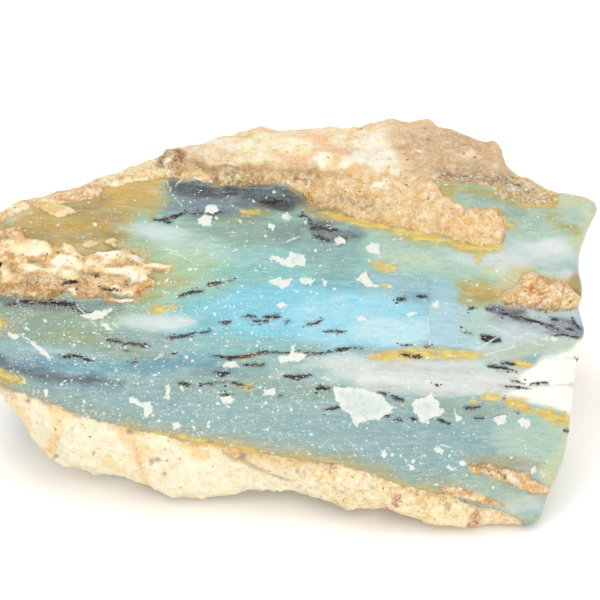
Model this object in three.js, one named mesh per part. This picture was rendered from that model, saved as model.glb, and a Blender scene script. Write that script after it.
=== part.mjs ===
// A rough lump of banded Andean opal with its sandy matrix crust still on it.
// Millimetres, +Z up. The stone lies on its flat underside, and its broken opal face
// slopes up and back from -Y. It grew as one piece, so it is one closed solid.
//
// The surface is a loft. Ridges run from the left end to the right end: each is an edge or
// a crease that can be followed along the real stone. They are listed in the order that a
// cross-section meets them, from the foot of the front, up the face, over the back and
// home along the underside.

import * as THREE from 'three';
import { ImprovedNoise } from 'three/addons/math/ImprovedNoise.js';

// Driving dimensions, in millimetres.
const LENGTH = 96;
const DEPTH = 60;
const HEIGHT = 42;

// How finely the loft is cut, and how rough its two materials are, in millimetres.
const STATIONS = 58;
const CAP_RINGS = 5;
const ROUGH = { crust: 1.2, opal: 0.35, flat: 0 };
const NOISE_GRAIN = { coarse: 11, fine: 5 };

// The broken faces at the two ends: how far each leans outward for its height, and how far
// its middle swells along X, in millimetres.
const LEFT_FACE = { lean: -0.04, swell: -0.5 };
const RIGHT_FACE = { lean: 0.22, swell: 0.6 };

// Each ridge holds points in percent of LENGTH from the left end, of DEPTH from the front
// and of HEIGHT from the table. "rows" is the number of strips up to the next ridge, a
// "crisp" ridge is a broken edge rather than a rounded one, and "skin" is its roughness.
const RIDGES = [
  {
    name: 'foot', rows: 3, crisp: true, skin: 'crust',
    points: [[1, 37, 36], [5, 28, 32], [8, 25, 19], [11, 22, 9], [14, 21, 6], [21, 18, 5], [29, 14, 5],
      [35, 12, 0], [38, 11, 1], [43, 10, 4], [53, 8, 8], [60, 6, 5], [68, 3, 4], [76, 2, 0], [88, 2, 0],
      [90, 3, 1]],
  },
  {
    name: 'crust belly', rows: 3, crisp: false, skin: 'crust',
    points: [[1, 34, 40], [6, 24, 38], [9, 20, 30], [14, 17, 24], [21, 13, 23], [29, 10, 21], [36, 8, 18],
      [43, 8, 18], [53, 6, 19], [60, 3, 15], [68, 2, 12], [76, 0, 9], [83, 0, 7], [90, 2, 3]],
  },
  {
    name: 'lower rim', rows: 5, crisp: true, skin: 'opal',
    points: [[1, 32, 44], [6, 21, 43], [14, 16, 41], [22, 12, 38], [29, 10, 34], [37, 8, 31], [53, 6, 27],
      [68, 2, 20], [76, 1, 16], [83, 0, 12], [90, 2, 5]],
  },
  {
    name: 'low face', rows: 4, crisp: false, skin: 'opal',
    points: [[1, 35, 51], [6, 25, 47], [22, 19, 44], [37, 16, 42], [53, 14, 39], [68, 13, 36], [84, 12, 29],
      [92, 14, 26], [95, 17, 26]],
  },
  {
    name: 'white band', rows: 4, crisp: false, skin: 'opal',
    points: [[1, 40, 55], [6, 30, 51], [21, 26, 52], [37, 23, 54], [68, 23, 54], [84, 24, 49], [97, 32, 46]],
  },
  {
    name: 'step', rows: 3, crisp: true, skin: 'opal',
    points: [[0, 45, 61], [5, 38, 65], [18, 35, 62], [29, 37, 63], [37, 38, 66], [53, 40, 68], [64, 42, 71],
      [76, 42, 70], [85, 41, 65], [98, 45, 57]],
  },
  {
    name: 'high face', rows: 3, crisp: false, skin: 'opal',
    points: [[0, 52, 64], [5, 46, 74], [15, 47, 76], [23, 48, 79], [30, 51, 79], [53, 51, 77], [68, 47, 73],
      [76, 46, 72], [85, 45, 69], [88, 47, 69], [98, 53, 66]],
  },
  {
    name: 'upper rim', rows: 3, crisp: true, skin: 'crust',
    points: [[0, 57, 65], [5, 53, 83], [10, 57, 88], [21, 62, 92], [29, 64, 91], [37, 63, 91], [42, 62, 88],
      [53, 62, 86], [57, 57, 82], [69, 52, 77], [76, 51, 76], [85, 50, 73], [86, 60, 79], [92, 62, 81],
      [99, 62, 77]],
  },
  {
    name: 'ledge', rows: 4, crisp: true, skin: 'crust',
    points: [[0, 62, 64], [4, 60, 80], [9, 62, 86], [20, 67, 90], [29, 68, 95], [53, 69, 93], [69, 66, 91],
      [77, 62, 88], [85, 57, 86], [86, 65, 82], [93, 68, 82], [99, 67, 81]],
  },
  {
    name: 'crest', rows: 4, crisp: false, skin: 'crust',
    points: [[0, 67, 59], [6, 65, 79], [14, 68, 84], [25, 73, 89], [30, 77, 93], [36, 80, 93], [43, 85, 95],
      [53, 87, 95], [64, 88, 97], [72, 90, 98], [79, 88, 92], [85, 87, 90], [87, 80, 86], [91, 75, 82],
      [96, 72, 78], [99, 71, 79]],
  },
  {
    name: 'back shoulder', rows: 5, crisp: true, skin: 'crust',
    points: [[1, 71, 52], [8, 73, 68], [20, 80, 74], [32, 90, 76], [45, 96, 78], [60, 99, 76], [74, 99, 74],
      [86, 93, 70], [98, 80, 66]],
  },
  {
    name: 'back belly', rows: 5, crisp: false, skin: 'crust',
    points: [[1, 70, 44], [9, 77, 44], [22, 86, 42], [36, 95, 40], [52, 100, 44], [68, 100, 38], [82, 97, 40],
      [96, 84, 38]],
  },
  {
    name: 'back foot', rows: 2, crisp: false, skin: 'crust',
    points: [[1, 64, 36], [10, 72, 22], [22, 82, 8], [36, 90, 5], [52, 96, 7], [68, 96, 4], [82, 92, 6],
      [93, 82, 10]],
  },
  {
    name: 'underside back', rows: 3, crisp: true, skin: 'flat',
    points: [[2, 60, 33], [12, 66, 12], [20, 72, 0], [36, 82, 0], [68, 88, 0], [80, 82, 0], [86, 74, 0],
      [92, 66, 4]],
  },
  {
    name: 'underside middle', rows: 4, crisp: true, skin: 'flat',
    points: [[2, 52, 32], [12, 52, 11], [19, 52, 0], [86, 50, 0], [92, 46, 3]],
  },
  {
    name: 'underside front', rows: 3, crisp: true, skin: 'flat',
    points: [[2, 44, 33], [12, 38, 12], [20, 32, 0], [36, 28, 0], [68, 26, 0], [86, 24, 0], [91, 20, 2]],
  },
];

const noise = new ImprovedNoise();

function lumps(p) {
  const coarse = noise.noise(p.x / NOISE_GRAIN.coarse, p.y / NOISE_GRAIN.coarse, p.z / NOISE_GRAIN.coarse);
  const fine = noise.noise(p.x / NOISE_GRAIN.fine, p.y / NOISE_GRAIN.fine, p.z / NOISE_GRAIN.fine);
  return coarse + 0.5 * fine;
}

// A ridge's point at a fraction of its own length, in millimetres.
function along(ridge, fraction) {
  const { points } = ridge;
  const first = points[0][0];
  const last = points[points.length - 1][0];
  const wanted = THREE.MathUtils.lerp(first, last, fraction);
  let i = 1;
  while (i < points.length - 1 && points[i][0] < wanted) i += 1;
  const [a, b] = [points[i - 1], points[i]];
  const t = (wanted - a[0]) / (b[0] - a[0]);
  const percent = a.map((value, axis) => THREE.MathUtils.lerp(value, b[axis], t));
  return new THREE.Vector3(
    (percent[0] / 100 - 0.5) * LENGTH,
    (percent[1] / 100 - 0.5) * DEPTH,
    (percent[2] / 100) * HEIGHT,
  );
}

// The slope of a section at a ridge. A crisp ridge keeps each side straight up to the edge,
// and a rounded one carries its neighbours' direction through, no longer than the strip.
function slopeAt(ridge, before, after, chord) {
  if (ridge.crisp) return chord.clone();
  return after.clone().sub(before).multiplyScalar(0.5).clampLength(0, chord.length());
}

// One closed cross-section: the points of every strip between neighbouring ridges.
function section(fraction) {
  const count = RIDGES.length;
  const corner = RIDGES.map((ridge) => along(ridge, fraction));
  const ring = [];
  RIDGES.forEach((ridge, k) => {
    const next = (k + 1) % count;
    const [before, here] = [corner[(k + count - 1) % count], corner[k]];
    const [there, after] = [corner[next], corner[(k + 2) % count]];
    const chord = there.clone().sub(here);
    const leave = slopeAt(ridge, before, there, chord);
    const arrive = slopeAt(RIDGES[next], here, after, chord);
    for (let row = 0; row < ridge.rows; row += 1) {
      const t = row / ridge.rows;
      const point = here.clone().multiplyScalar(2 * t ** 3 - 3 * t ** 2 + 1)
        .addScaledVector(leave, t ** 3 - 2 * t ** 2 + t)
        .addScaledVector(there, 3 * t ** 2 - 2 * t ** 3)
        .addScaledVector(arrive, t ** 3 - t ** 2);
      const rough = THREE.MathUtils.lerp(ROUGH[ridge.skin], ROUGH[RIDGES[next].skin], t);
      ring.push({ point, rough });
    }
  });
  return ring;
}

// Rings that shrink from an end section to its middle, and settle onto the leaning face.
function endRings(ring, { lean, swell }) {
  const middle = new THREE.Vector3();
  ring.forEach(({ point }) => middle.addScaledVector(point, 1 / ring.length));
  const rings = [];
  for (let k = 1; k < CAP_RINGS; k += 1) {
    const inward = k / CAP_RINGS;
    const settled = 1 - (1 - inward) ** 2;
    rings.push(ring.map(({ point }) => {
      const moved = point.clone().lerp(middle, inward);
      const faceX = middle.x + lean * (moved.z - middle.z) + swell;
      moved.x = THREE.MathUtils.lerp(point.x, faceX, settled);
      return { point: moved, rough: ROUGH.opal };
    }));
  }
  middle.x += swell;
  return { rings, middle };
}

function stoneGeometry() {
  const sections = [];
  for (let s = 0; s < STATIONS; s += 1) sections.push(section(s / (STATIONS - 1)));
  const left = endRings(sections[0], LEFT_FACE);
  const right = endRings(sections[STATIONS - 1], RIGHT_FACE);
  const loops = [...left.rings.reverse(), ...sections, ...right.rings];
  const width = sections[0].length;

  const corners = loops.flat();
  const triangles = [];
  for (let s = 0; s < loops.length - 1; s += 1) {
    for (let r = 0; r < width; r += 1) {
      const a = s * width + r;
      const b = s * width + ((r + 1) % width);
      const [c, d] = [a + width, b + width];
      triangles.push(a, c, b, b, c, d);
    }
  }
  const leftTip = corners.length;
  const rightTip = leftTip + 1;
  corners.push({ point: left.middle, rough: ROUGH.opal }, { point: right.middle, rough: ROUGH.opal });
  const lastLoop = (loops.length - 1) * width;
  for (let r = 0; r < width; r += 1) {
    const next = (r + 1) % width;
    triangles.push(leftTip, r, next);
    triangles.push(rightTip, lastLoop + next, lastLoop + r);
  }

  const geometry = new THREE.BufferGeometry();
  const places = corners.flatMap(({ point }) => point.toArray());
  geometry.setAttribute('position', new THREE.Float32BufferAttribute(places, 3));
  geometry.setIndex(triangles);
  geometry.computeVertexNormals();
  roughen(geometry, corners);
  return geometry;
}

// Moves each corner in or out along its normal. Nothing goes below the table.
function roughen(geometry, corners) {
  const { position, normal } = geometry.attributes;
  const out = new THREE.Vector3();
  corners.forEach(({ point, rough }, i) => {
    const moved = point.clone().addScaledVector(out.fromBufferAttribute(normal, i), rough * lumps(point));
    position.setXYZ(i, moved.x, moved.y, Math.max(0, moved.z));
  });
  geometry.computeVertexNormals();
}

// Puts the origin under the middle of the stone, on the table.
function centred(mesh) {
  mesh.geometry.computeBoundingBox();
  const middle = mesh.geometry.boundingBox.getCenter(new THREE.Vector3());
  mesh.position.set(-middle.x, -middle.y, 0);
  return mesh;
}

const stone = new THREE.Mesh(
  stoneGeometry(),
  new THREE.MeshStandardMaterial({ color: 0xa5cdc8, roughness: 0.4, metalness: 0 }),
);
stone.name = 'opal_stone';

const object = new THREE.Group();
object.name = 'rough_andean_opal';
object.add(centred(stone));

export default object;
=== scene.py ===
"""A rough Andean opal in its sandy crust, on a plain pale floor. Lengths are millimetres."""

import math

import bmesh
import bpy
import numpy as np
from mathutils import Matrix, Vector


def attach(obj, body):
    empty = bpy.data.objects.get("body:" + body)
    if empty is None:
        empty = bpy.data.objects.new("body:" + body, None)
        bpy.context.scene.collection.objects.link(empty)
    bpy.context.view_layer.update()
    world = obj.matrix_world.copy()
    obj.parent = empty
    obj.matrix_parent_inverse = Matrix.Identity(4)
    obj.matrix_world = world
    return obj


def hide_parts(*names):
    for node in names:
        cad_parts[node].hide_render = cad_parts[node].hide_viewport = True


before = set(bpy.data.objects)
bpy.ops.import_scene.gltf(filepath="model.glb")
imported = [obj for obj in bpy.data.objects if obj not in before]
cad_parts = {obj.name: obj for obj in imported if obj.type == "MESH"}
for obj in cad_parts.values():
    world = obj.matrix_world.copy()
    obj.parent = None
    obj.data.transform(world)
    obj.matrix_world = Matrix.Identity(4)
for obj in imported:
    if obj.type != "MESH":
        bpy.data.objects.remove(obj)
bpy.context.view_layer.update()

METRES = 0.001  # one millimetre, in Blender's metres

# --- Camera: looks level with the stone's long face, from a little above it ---

CAMERA_TARGET = np.array([2.854, 2.758, 20.0])
CAMERA_ELEVATION = math.radians(32)
CAMERA_DISTANCE = 390
CAMERA_LENS = 150
CAMERA_SENSOR = 36
PICTURE_SIDE = 600  # the picture is square

AHEAD = np.array([0, math.cos(CAMERA_ELEVATION), -math.sin(CAMERA_ELEVATION)])
UP = np.array([0, math.sin(CAMERA_ELEVATION), math.cos(CAMERA_ELEVATION)])
EYE = CAMERA_TARGET - AHEAD * CAMERA_DISTANCE
TO_CAMERA = -AHEAD


def make_camera():
    data = bpy.data.cameras.new("camera")
    data.lens = CAMERA_LENS
    data.sensor_width = CAMERA_SENSOR
    camera = bpy.data.objects.new("camera", data)
    bpy.context.scene.collection.objects.link(camera)
    camera.location = Vector(EYE * METRES)
    camera.rotation_euler = Vector(AHEAD).to_track_quat("-Z", "Y").to_euler()
    bpy.context.scene.camera = camera


def picture_places(points):
    """Where points show in the picture: pixels across and down from its top left corner."""
    away = points - EYE
    scale = PICTURE_SIDE * CAMERA_LENS / CAMERA_SENSOR / (away @ AHEAD)
    middle = PICTURE_SIDE / 2
    return np.stack([middle + scale * away[:, 0], middle - scale * (away @ UP)], 1)


# --- Light and floor ---

WORLD_LIGHT = 1.15
KEY_LIGHT = {"place": (-130, 110, 550), "size": 260, "watts": 0.88}
FILL_LIGHT = {"place": (60, -440, 110), "size": 300, "watts": 1.0}
FLOOR_COLOUR = (0.93, 0.905, 0.88)
FLOOR_ROUGHNESS = 0.9
FLOOR_SHINE = 0.1
FLOOR_SIDE = 6000


def make_light(name, place, size, watts):
    data = bpy.data.lights.new(name, "AREA")
    data.size = size * METRES
    data.energy = watts
    lamp = bpy.data.objects.new(name, data)
    bpy.context.scene.collection.objects.link(lamp)
    lamp.location = Vector(place) * METRES
    towards = Vector(CAMERA_TARGET) - Vector(place)
    lamp.rotation_euler = towards.to_track_quat("-Z", "Y").to_euler()


def make_studio():
    scene = bpy.context.scene
    scene.view_settings.view_transform = "Standard"
    world = bpy.data.worlds.new("studio")
    world.use_nodes = True
    sky = world.node_tree.nodes["Background"].inputs
    sky["Color"].default_value = (1, 1, 1, 1)
    sky["Strength"].default_value = WORLD_LIGHT
    scene.world = world
    make_light("key", **KEY_LIGHT)
    make_light("fill", **FILL_LIGHT)

    half = FLOOR_SIDE / 2 * METRES
    mesh = bpy.data.meshes.new("floor")
    corners = [(-half, -half, 0), (half, -half, 0), (half, half, 0), (-half, half, 0)]
    mesh.from_pydata(corners, [], [(0, 1, 2, 3)])
    floor = bpy.data.objects.new("floor", mesh)
    scene.collection.objects.link(floor)
    paper = bpy.data.materials.new("paper")
    paper.use_nodes = True
    coat = paper.node_tree.nodes["Principled BSDF"].inputs
    coat["Base Color"].default_value = (*FLOOR_COLOUR, 1)
    coat["Roughness"].default_value = FLOOR_ROUGHNESS
    coat["Specular IOR Level"].default_value = FLOOR_SHINE
    mesh.materials.append(paper)


# --- Repeatable noise, for the relief and for the edges of the painted shapes ---

HASH_START = 668265263
HASH_STEP = 374761393  # moves the start on for each seed
HASH_PRIMES = (73856093, 19349663, 83492791)  # one for each axis
HASH_STIR = np.uint32(2246822519)
LARGEST_WORD = 0xFFFFFFFF  # the largest number of 32 bits
AXIS_SEEDS = (0, 71, 142)  # seed steps between three chances for one cell
OWN_SEED = 213  # seed step to a pebble's own number
OCTAVE_SEED = 7  # seed step from one octave to the next
WOBBLE_SEEDS = (0, 31)  # seed steps for the two directions of a wobble
NOISE_GAIN = 1.4  # brings the noise up to about -1 to 1


def chance(cells, seed):
    """A repeatable number from 0 to 1 for each row of whole numbers."""
    mixed = np.full(len(cells), (seed * HASH_STEP + HASH_START) % 2**32, np.uint32)
    for axis, prime in enumerate(HASH_PRIMES):
        mixed ^= ((cells[:, axis].astype(np.int64) * prime) & LARGEST_WORD).astype(np.uint32)
        mixed = (mixed ^ (mixed >> 15)) * HASH_STIR
        mixed ^= mixed >> 13
    return mixed / float(LARGEST_WORD)


def three_chances(cells, seed):
    return np.stack([chance(cells, seed + step) for step in AXIS_SEEDS], 1)


def noise(places, seed):
    """Smooth noise from about -1 to 1 at places that are measured in cells."""
    cell = np.floor(places)
    within = places - cell
    fade = within**3 * (within * (within * 6 - 15) + 10)
    total = np.zeros(len(places))
    for corner in np.ndindex(2, 2, 2):
        near = cell + corner
        slope = three_chances(near, seed) * 2 - 1
        weight = np.where(corner, fade, 1 - fade).prod(1)
        total += weight * ((within - corner) * slope).sum(1)
    return total * NOISE_GAIN


def fractal(points, size, octaves, seed):
    """Noise summed over ever finer octaves, the coarsest with cells of this size."""
    total = np.zeros(len(points))
    for octave in range(octaves):
        total += noise(points / size * 2**octave, seed + OCTAVE_SEED * octave) / 2**octave
    return total


def pebbles(points, size, seed):
    """The distance to the nearest of some scattered pebbles, in cells, and the pebble's number."""
    places = points / size
    cell = np.floor(places)
    nearest = np.full(len(places), np.inf)
    number = np.zeros(len(places))
    for step in np.ndindex(3, 3, 3):
        near = cell + step - 1
        gap = np.linalg.norm(places - (near + three_chances(near, seed)), axis=1)
        number = np.where(gap < nearest, chance(near, seed + OWN_SEED), number)
        nearest = np.minimum(nearest, gap)
    return nearest, number


def wobble(points, size, reach, seed):
    """How far to move each place across and down, from noise with cells of this size."""
    return reach * np.stack([fractal(points, size, 3, seed + step) for step in WOBBLE_SEEDS], 1)


# --- Shapes in the picture: each gives how far inside it a place is, and below 0 outside ---


def ease(low, high, value):
    t = np.clip((value - low) / (high - low), 0, 1)
    return t * t * (3 - 2 * t)


def ellipse(at, x, y, across, up, tilt=0):
    cosine = math.cos(math.radians(tilt))
    sine = math.sin(math.radians(tilt))
    dx = at[:, 0] - x
    dy = at[:, 1] - y
    radius = np.hypot((dx * cosine + dy * sine) / across, (dy * cosine - dx * sine) / up)
    return (1 - radius) * min(across, up)


def spot(at, middle, size):
    return size / 2 - np.linalg.norm(at - middle, axis=1)


def stroke(at, points, thickness):
    points = np.array(points, float)
    nearest = np.full(len(at), np.inf)
    for a, b in zip(points[:-1], points[1:]):
        way = b - a
        t = np.clip(((at - a) @ way) / (way @ way), 0, 1)
        nearest = np.minimum(nearest, np.linalg.norm(at - a - t[:, None] * way, axis=1))
    return thickness / 2 - nearest


def streak(at, points, thickness):
    """Like a stroke, but drawn out to a point at each end."""
    points = np.array(points, float)
    lengths = np.linalg.norm(np.diff(points, axis=0), axis=1)
    starts = np.concatenate([[0], np.cumsum(lengths)])
    best = np.full(len(at), -np.inf)
    for a, b, start, length in zip(points[:-1], points[1:], starts, lengths):
        t = np.clip(((at - a) @ (b - a)) / length**2, 0, 1)
        share = (start + t * length) / starts[-1] * 2 - 1
        gap = np.linalg.norm(at - a - t[:, None] * (b - a), axis=1)
        best = np.maximum(best, thickness / 2 * np.sqrt(1 - share**2) - gap)
    return best


def outline(at, points, grown=0):
    """Grown moves the edge outwards."""
    points = np.array(points, float)
    closed = np.vstack([points, points[:1]])
    edge = -stroke(at, closed, 0)
    within = np.zeros(len(at), bool)
    for (ax, ay), (bx, by) in zip(closed[:-1], closed[1:]):
        crosses = (ay > at[:, 1]) != (by > at[:, 1])
        rise = by - ay or 1
        within ^= crosses & (at[:, 0] < ax + (at[:, 1] - ay) * (bx - ax) / rise)
    return np.where(within, edge, -edge) + grown


def below(at, points):
    """How far below a line that runs from left to right."""
    points = np.array(points, float)
    return at[:, 1] - np.interp(at[:, 0], points[:, 0], points[:, 1])


def any_of(shapes):
    return np.maximum.reduce(list(shapes))


def all_of(shapes):
    return np.minimum.reduce(list(shapes))


def in_any(at, outlines):
    return any_of(outline(at, points) for points in outlines)


# --- The stone's boundaries, in pixels of the picture ---

PIXELS_PER_MM = 6.5

LOWER_RIM = [
    (-40, 372), (0, 385), (21, 393), (49, 403), (75, 413), (96, 420), (126, 427), (161, 434),
    (186, 441), (214, 444), (257, 453), (303, 460), (346, 467), (383, 477), (401, 486), (440, 493),
    (479, 507), (497, 510), (518, 518), (527, 527), (620, 560),
]
STEP_LINE = [
    (-40, 290), (100, 312), (165, 303), (173, 298), (200, 291), (230, 288), (268, 285), (290, 281),
    (330, 279), (360, 277), (372, 271), (400, 273), (430, 277), (452, 281), (500, 290), (600, 300),
]
BLUE_FOOT = [
    (-40, 352), (100, 356), (200, 358), (290, 354), (330, 353), (365, 347), (430, 347), (482, 350),
    (600, 355),
]
TOP_RIM = [
    (-40, 240), (0, 223), (22, 212), (48, 205), (75, 201), (98, 198), (105, 187), (140, 181),
    (165, 178), (192, 179), (221, 186), (243, 188), (270, 184), (287, 184), (304, 196), (318, 212),
    (326, 212), (327, 176), (400, 178), (428, 186), (438, 181), (460, 181), (480, 186), (500, 195),
    (515, 203), (530, 207), (548, 207), (556, 201), (562, 192), (640, 186),
]
SAND_BLOCK = [
    (312, 150), (312, 206), (320, 211), (342, 216), (369, 221), (388, 226), (422, 233), (445, 236),
    (457, 241), (470, 245), (490, 246), (503, 243), (506, 233), (505, 214), (500, 209), (464, 209),
    (453, 203), (441, 193), (432, 180), (400, 166),
]
LEFT_PATCH = [
    (-40, 236), (0, 229), (19, 228), (30, 238), (50, 242), (62, 247), (84, 256), (98, 251),
    (120, 250), (138, 258), (152, 263), (168, 269), (152, 275), (163, 284), (146, 290), (138, 296),
    (121, 300), (102, 297), (80, 296), (64, 291), (46, 299), (19, 298), (-40, 292),
]
RUST_PATCH = [
    (498, 299), (504, 293), (515, 287), (522, 276), (530, 272), (538, 277), (548, 281), (561, 282),
    (572, 288), (580, 297), (579, 306), (570, 311), (558, 310), (545, 312), (528, 308), (514, 305),
    (502, 303),
]
FOOT_LENS = [
    (467, 465), (480, 463), (500, 467), (516, 471), (530, 472), (531, 479), (551, 487), (548, 494),
    (531, 493), (518, 488), (504, 483), (493, 478), (481, 474), (468, 469),
]
THIN_LENS = [(440, 488), (455, 486), (475, 492), (505, 505), (490, 505), (455, 497), (445, 493)]
CREAM_END = [
    (529, 370), (540, 360), (552, 355), (566, 351), (578, 341), (590, 335), (620, 330), (620, 424),
    (580, 420), (560, 411), (545, 405), (526, 400), (506, 394), (520, 382),
]
LEDGE_TOP = [(160, 158), (200, 163), (300, 168), (350, 172), (430, 180)]
# Ovals where the crust's edge is broken up into scraps, as (x, y, across, up, tilt)
BROKEN_EDGES = [
    (70, 242, 105, 14, 6), (150, 270, 26, 30), (95, 300, 70, 8, 3), (325, 204, 26, 20, 40),
    (484, 192, 50, 14, 20),
]

# --- Marks, in pixels: lines and specks listed by their thickness, and small outlines ---

# Ochre streaks, by their thickness
OCHRE = {
    2.5: [[(242, 214), (258, 213)]],
    3: [[(238, 356), (258, 355)]],
    4: [
        [(470, 401), (478, 402)], [(168, 306), (178, 306)], [(504, 225), (514, 226)],
        [(236, 384), (254, 389)], [(150, 433), (175, 437), (205, 443)], [(212, 445), (258, 452)],
        [(383, 287), (391, 287)],
    ],
    6: [[(148, 311), (164, 308)], [(-20, 368), (6, 377), (26, 382)], [(520, 204), (552, 206)]],
    7: [[(512, 363), (532, 366)], [(478, 252), (478, 264)]],
    8: [[(370, 265), (397, 270)], [(326, 214), (369, 224), (392, 231)]],
    9: [[(481, 397), (500, 398)], [(390, 231), (422, 238), (445, 240)]],
    10: [
        [(366, 356), (390, 355), (430, 354), (484, 355)], [(502, 400), (520, 404), (532, 412)],
        [(536, 411), (555, 417), (576, 423)], [(445, 240), (470, 249), (503, 249)],
    ],
    12: [[(-10, 320), (4, 326)]],
}
# Dark dendrites, by their thickness. The rows in the golden patch at the left, near (0, 268), (62, 285),
# (94, 279) and (100, 290), are painted shade in its creases.
INK = {
    1.5: [[(222, 283), (233, 282)], [(284, 321), (289, 321)], [(499, 385), (515, 387), (532, 389)]],
    2: [
        [(188, 215), (224, 214)], [(400, 345), (413, 345)], [(170, 354), (178, 353)],
        [(83, 313), (97, 316)],
    ],
    2.5: [
        [(198, 333), (211, 329)], [(264, 352), (290, 354), (318, 354), (345, 350)],
        [(278, 396), (283, 396)], [(378, 392), (387, 394)], [(380, 415), (391, 416)],
        [(461, 330), (474, 334)], [(401, 354), (410, 356), (423, 357)], [(511, 380), (526, 384)],
        [(435, 385), (439, 386)], [(498, 420), (499, 415)], [(502, 419), (503, 416)],
        [(424, 402), (430, 406)], [(576, 359), (580, 360)], [(123, 350), (130, 351)],
        [(131, 363), (138, 362)], [(486, 308), (498, 311), (515, 316), (535, 320)],
        [(552, 334), (566, 335), (582, 337)],
    ],
    3: [
        [(298, 217), (308, 217)], [(308, 218), (312, 227)], [(340, 246), (350, 236)],
        [(263, 321), (269, 320)], [(325, 332), (332, 331), (345, 332)],
        [(198, 386), (209, 383), (227, 382)], [(221, 395), (231, 395)], [(322, 410), (342, 407)],
        [(396, 419), (403, 421)], [(409, 418), (418, 420)], [(469, 310), (474, 306)],
        [(530, 384), (548, 382)], [(502, 398), (506, 399)], [(473, 418), (485, 418)],
        [(515, 411), (519, 413)], [(6, 305), (18, 304)], [(100, 290), (122, 292)], [(94, 279), (99, 277)],
        [(522, 318), (540, 322), (560, 329)], [(572, 318), (582, 330)],
    ],
    3.5: [
        [(163, 222), (172, 223)], [(205, 285), (212, 285), (221, 283)],
        [(249, 319), (256, 321), (263, 320)], [(306, 325), (314, 324), (323, 320)],
        [(243, 365), (255, 365), (265, 364)], [(228, 382), (240, 385), (252, 388)],
        [(390, 396), (405, 401)], [(435, 418), (450, 424)], [(424, 348), (432, 346)],
        [(501, 363), (515, 364)], [(564, 430), (573, 432)], [(36, 303), (52, 303)],
        [(76, 309), (84, 314)], [(550, 318), (558, 320)],
    ],
    4: [
        [(178, 297), (190, 293), (204, 291)], [(242, 316), (250, 315), (258, 317)],
        [(218, 322), (232, 321)], [(166, 338), (180, 336), (198, 332)],
        [(211, 356), (225, 357), (245, 356), (259, 353)], [(256, 353), (270, 352)],
        [(335, 350), (350, 348), (364, 348)], [(178, 383), (190, 384)], [(396, 301), (406, 300)],
        [(416, 297), (428, 297)], [(487, 366), (500, 368), (515, 370)], [(464, 409), (481, 407)],
        [(566, 328), (576, 330)],
    ],
    4.5: [
        [(153, 220), (168, 219), (188, 213)], [(311, 235), (322, 240), (331, 242)],
        [(282, 376), (296, 378), (313, 375)], [(122, 343), (136, 344), (152, 347)],
        [(60, 357), (72, 356), (82, 356), (90, 361)], [(62, 285), (70, 283), (79, 284)],
    ],
    5: [
        [(213, 372), (222, 374), (230, 373)], [(315, 389), (331, 389)],
        [(106, 340), (114, 340), (123, 342)], [(18, 301), (28, 302), (38, 302)], [(-6, 272), (5, 264)],
    ],
    5.5: [[(262, 317), (271, 316), (281, 317)], [(50, 303), (62, 304), (77, 305)]],
    6: [[(260, 203), (272, 204), (284, 202)], [(308, 230), (322, 229), (340, 232)]],
    9: [[(480, 335), (489, 339), (502, 340)]],
}
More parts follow.
